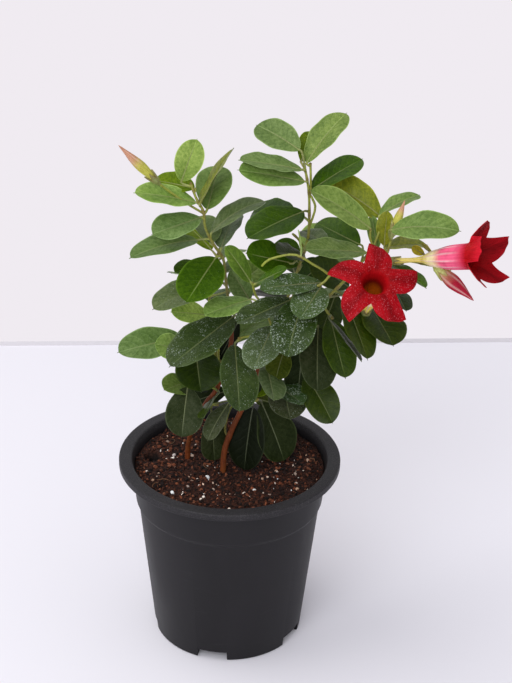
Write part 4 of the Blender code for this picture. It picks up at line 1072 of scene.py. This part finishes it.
def make_bud(name, petal):
    """Petals rolled into a twisted point, each one's edge lying over the next."""
    row = BUDS[name]
    green, stripes, red = BUD_LOOKS[name]
    base, tip = Vector(row["base"]), Vector(row["tip"])
    way = (tip - base).normalized()
    side = way.orthogonal().normalized()
    shape = Shape()

    def point_at(k, n):
        share = k / BUD_ROWS
        width = row["radius"] * along_curve(BUD_PROFILE, share) * (1 - 0.6 * ease(0.94, 1.0, share))
        roll = (LOBES * n / BUD_COLUMNS + share * 1.3) % 1.0
        turn = tau * n / BUD_COLUMNS + radians(BUD_TWIST) * share
        out = Matrix.Rotation(turn, 3, way) @ side
        step = 1 - BUD_LAP + BUD_LAP * roll ** 0.6 * (1 - ease(0.93, 1.0, roll))
        colour = blend(BUD_GREEN, BUD_BLUSH, ease(green - 0.2, green + 0.1, share))
        colour = blend(colour, BUD_RED, ease(green - 0.1, green + 0.3, share) * red)
        pale = stripes * ease(green - 0.2, green, share) * exp(-((roll - 0.25) / 0.13) ** 2)
        place = base + (tip - base) * share + out * width * step
        return place, blend(colour, BUD_STRIPE, pale), (n / BUD_COLUMNS * LOBES, share, 0.0)

    shape.skin(shape.grid(BUD_ROWS + 1, BUD_COLUMNS, point_at))
    settle(shape.made(name + "_petals", [petal], 75.0), "bud_red", name)


# Pot

def rounded(profile, radius, steps=4):
    """The profile with each inner corner turned into an arc of at most the radius."""
    made = [profile[0]]
    for before, corner, after in zip(profile, profile[1:], profile[2:]):
        a, b, c = (Vector(p) for p in (before, corner, after))
        cut = min(radius, (a - b).length * 0.45, (c - b).length * 0.45)
        start, end = b + (a - b).normalized() * cut, b + (c - b).normalized() * cut
        for t in (k / steps for k in range(steps + 1)):
            made.append(tuple(start * (1 - t) ** 2 + b * 2 * t * (1 - t) + end * t * t))
    return made + [profile[-1]]


def radial_box(angle, inner, outer, width, low, high):
    """A block that reaches from one radius to another, at an angle round the pot's axis."""
    turn = Matrix.Rotation(radians(angle), 3, "Z")
    half = width / 2
    points = [turn @ Vector((r, side, z)) * MM for z in (low, high)
              for r, side in ((inner, -half), (outer, -half), (outer, half), (inner, half))]
    faces = [(3, 2, 1, 0), (4, 5, 6, 7), (0, 1, 5, 4), (1, 2, 6, 5), (2, 3, 7, 6), (3, 0, 4, 7)]
    return linked("block", mesh_of("block", points, faces))


def carve(item, blocks, operation):
    """The blocks joined to the item, or cut out of it."""
    group = bpy.data.collections.new("blocks")
    for block in blocks:
        group.objects.link(block)
    step = item.modifiers.new("carve", "BOOLEAN")
    step.operation = operation
    step.operand_type = "COLLECTION"
    step.collection = group
    step.solver = "EXACT"
    result = bpy.data.meshes.new_from_object(item.evaluated_get(bpy.context.evaluated_depsgraph_get()))
    item.modifiers.clear()
    item.data = result
    for block in blocks:
        bpy.data.objects.remove(block, do_unlink=True)
    bpy.data.collections.remove(group)


def make_pot():
    """The pot's turned wall with rounded edges, and a drain pocket in each of five places round the foot."""
    underside = POT_HEIGHT - RIM_THICKNESS
    skirt_radius = RIM_RADIUS - RIM_THICKNESS
    slope = (BODY_TOP_RADIUS - FOOT_RADIUS) / STEP_Z
    profile = [
        (0.0, 0.0), (FOOT_RADIUS, 0.0), (BODY_TOP_RADIUS, STEP_Z - SHOULDER / 2),
        (BAND_FOOT_RADIUS, STEP_Z + SHOULDER / 2), (BAND_TOP_RADIUS, underside), (skirt_radius, underside),
        (skirt_radius, POT_HEIGHT - RIM_DROP), (RIM_RADIUS, POT_HEIGHT - RIM_DROP), (RIM_RADIUS, POT_HEIGHT),
        (RIM_INNER_RADIUS, POT_HEIGHT), (BAND_TOP_RADIUS - WALL, underside - 2 * EDGE_ROUND),
        (BAND_FOOT_RADIUS - WALL, STEP_Z), (BODY_TOP_RADIUS - WALL, STEP_Z - SHOULDER),
        (FOOT_RADIUS - WALL + slope * FLOOR, FLOOR), (0.0, FLOOR),
    ]
    shape = Shape()
    plain = (0.03,) * 3
    turned = rounded(profile, EDGE_ROUND)[1:-1]
    rings = shape.grid(len(turned), POT_SEGMENTS, lambda k, n: (
        Vector((*polar(turned[k][0], tau * n / POT_SEGMENTS), turned[k][1])), plain))
    shape.skin(rings, 0, [(Vector((0.0, 0.0, z)), plain) for z in (0.0, FLOOR)])
    pot = shape.made("pot_body", [pot_material()])
    inner, through, roof = FOOT_RADIUS - POCKET_DEPTH, FOOT_RADIUS + WALL, POCKET_HEIGHT + POCKET_WALL
    angles = [POCKET_ANGLE + 360.0 / POCKETS * k for k in range(POCKETS)]
    carve(pot, [radial_box(angle, inner - POCKET_WALL, FOOT_RADIUS - WALL, POCKET_WIDTH + 2 * POCKET_WALL,
                           FLOOR / 2, roof) for angle in angles], "UNION")
    cuts = [radial_box(angle, inner, through, POCKET_WIDTH, -FLOOR, POCKET_HEIGHT) for angle in angles]
    cuts += [radial_box(angle, inner + POCKET_WALL, inner + POCKET_WALL + SLOT_DEPTH, SLOT_WIDTH,
                        POCKET_HEIGHT - POCKET_WALL, roof + POCKET_WALL) for angle in angles]
    carve(pot, cuts, "DIFFERENCE")
    pot.data.shade_smooth()
    pot.data.set_sharp_from_angle(angle=radians(38.0))
    settle(pot, "pot_plastic", "pot")


# Potting mix

def hole_distance(x, y):
    """How far a place is from the finger hole, in radii of the hole."""
    return hypot(x - FINGER_HOLE[0], y - FINGER_HOLE[1]) / FINGER_HOLE_RADIUS


def soil_height(x, y):
    """The mix's surface: crossing waves of low mounds with fine crumbling, and a finger hole."""
    mounds = sin(x / 5.0 + 1.0) * cos(y / 6.0) + 0.6 * sin(x / 9.0 - y / 4.0 + 2.0)
    z = SOIL_Z + SOIL_RELIEF * (0.5 * mounds + 1.0 - hypot(x, y) ** 2 / BODY_TOP_RADIUS ** 2)
    z += 0.8 * noise.noise(Vector((x, y, 0.0)) * 0.45) + 0.45 * noise.noise(Vector((x, y, 9.0)) * 1.3)
    return z - FINGER_HOLE_DEPTH * (1 - ease(0.6, 1.7, hole_distance(x, y)))


def soil_radius(z, angle):
    """How far the mix reaches at a height, drawn in at the drain pockets."""
    inset = WALL + GAP
    slope = (BODY_TOP_RADIUS - FOOT_RADIUS) / STEP_Z
    band = (BAND_TOP_RADIUS - BAND_FOOT_RADIUS) / (POT_HEIGHT - RIM_THICKNESS - STEP_Z)
    radius = FOOT_RADIUS - inset + slope * z if z < STEP_Z else BAND_FOOT_RADIUS - inset + band * (z - STEP_Z)
    if z < POCKET_HEIGHT + POCKET_WALL + GAP:
        spread = 360.0 / POCKETS
        off = radians((degrees(angle) - POCKET_ANGLE + spread / 2) % spread - spread / 2)
        if abs(off) * radius < POCKET_WIDTH / 2 + 2 * POCKET_WALL:
            return FOOT_RADIUS - POCKET_DEPTH - POCKET_WALL - 2 * GAP
    return radius


def make_soil():
    shape = Shape()
    ledge = POCKET_HEIGHT + POCKET_WALL + GAP
    outer = soil_radius(SOIL_Z, 0.0)
    steps = round(outer / SOIL_RING_STEP)
    walls = (SOIL_BOTTOM, ledge - 0.1, ledge + 0.1, 30.0, 60.0, STEP_Z - SHOULDER - GAP, STEP_Z + GAP)

    def point_at(k, n):
        angle, on_wall = tau * n / SOIL_COLUMNS, k < len(walls)
        x, y = polar(soil_radius(walls[k], angle) if on_wall else outer * (1 - (k - len(walls)) / steps), angle)
        # Painted shade: the mix is painted darker down in the finger hole
        light = ease(1.1, 1.8, hole_distance(x, y)) * 0.94 + 0.06
        return Vector((x, y, walls[k] if on_wall else soil_height(x, y))), (light,) * 3

    rows = shape.grid(len(walls) + steps, SOIL_COLUMNS, point_at)
    shape.skin(rows, 0, [(Vector((0.0, 0.0, z)), (1.0,) * 3) for z in (SOIL_BOTTOM, soil_height(0.0, 0.0))])
    settle(shape.made("soil_bed", [mix_material()], 180.0), "soil_mix", "soil")


def spot_within(chance, reach):
    """A chance place on the mix, no further than the reach from the pot's axis."""
    angle, radius = chance.uniform(0.0, tau), reach * sqrt(chance.random())
    return polar(radius, angle)


def scatter(shape, chance, rounds, tints, count, sizes, flat, sink, reach):
    """Loose lumps on the mix's surface, each turned, stretched and dented by itself."""
    ball = bmesh.new()
    bmesh.ops.create_icosphere(ball, subdivisions=rounds, radius=1.0)
    points = [v.co.copy() for v in ball.verts]
    faces = [[v.index for v in f.verts] for f in ball.faces]
    ball.free()
    for k in range(count):
        x, y = spot_within(chance, reach)
        if hole_distance(x, y) < HOLE_CLEAR:
            continue
        size = sizes[0] + (sizes[1] - sizes[0]) * chance.random() ** 2.2
        stretch = Vector((1.0, chance.uniform(0.4, 0.9), chance.uniform(*flat))) * size / 2
        turn = Matrix.Rotation(chance.uniform(0, tau), 3, "Z") @ Matrix.Rotation(
            chance.uniform(-0.6, 0.6), 3, "X") @ Matrix.Rotation(chance.uniform(-0.5, 0.5), 3, "Y")
        centre = Vector((x, y, soil_height(x, y) + stretch.z * sink))
        seed = Vector((k * 3.7, k * 1.3, 0.0))
        tint = varied(chance.choice(tints), chance, BIT_SPREAD)
        start = len(shape.points)
        for p in points:
            dent = 1 + 0.42 * noise.noise(p * 1.3 + seed) + 0.15 * noise.noise(p * 3.1 + seed)
            shape.add(centre + turn @ Vector((p.x * stretch.x, p.y * stretch.y, p.z * stretch.z)) * dent, tint)
        for f in faces:
            shape.face([start + v for v in f])


def make_fibres(chance):
    fibres = Shape()
    for k in range(FIBRES):
        x, y = spot_within(chance, FIBRE_REACH[0])
        heading, curl = chance.uniform(0.0, tau), chance.uniform(-0.5, 0.5)
        route = []
        for step in range(FIBRE_STEPS + 1):
            if hypot(x, y) > FIBRE_REACH[1]:
                break
            lift = 0.5 + 0.9 * sin(pi * step / FIBRE_STEPS) * chance.uniform(0.6, 1.0)
            route.append(Vector((x, y, soil_height(x, y) + lift)))
            heading += curl
            x, y = x + FIBRE_STEP * cos(heading), y + FIBRE_STEP * sin(heading)
        if len(route) < 4:
            continue
        tint = varied(FIBRE_TINT, chance, FIBRE_SPREAD)
        fibres.tube(route, [FIBRE_RADIUS] * len(route), [tint] * len(route), 6)
    settle(fibres.made("coir_fibres", [crumb_material("coir_fibre", 0.35, 0.6, 0.9)]), "soil_mix")


def make_bits():
    """Coir crumbs, white grains and a few fibres on the mix, all from one row of chances."""
    chance = random.Random(41)
    crumbs, perlite = Shape(), Shape()
    scatter(crumbs, chance, 1, BROWNS, **CRUMBS)
    settle(crumbs.made("soil_crumbs", [crumb_material("coir_crumb", 0.35, 0.6, 0.95)], 50.0), "soil_mix")
    scatter(perlite, chance, 2, WHITES, **PERLITE)
    settle(perlite.made("perlite", [crumb_material("perlite_grain", 0.30, 0.45, 0.9)]), "soil_mix")
    make_fibres(chance)


def main():
    make_camera()
    make_stage()
    finishes = [leaf_material("leaf_skin", 0.18), stalk_material(), leaf_material("leaf_matt", 0.05)]
    petal = petal_material()
    for name in SHOOTS:
        make_foliage(name, finishes)
    make_stems(bark_material())
    for name in BLOOMS:
        make_bloom(name, petal)
    for name in BUDS:
        make_bud(name, petal)
    make_pot()
    make_soil()
    make_bits()


main()
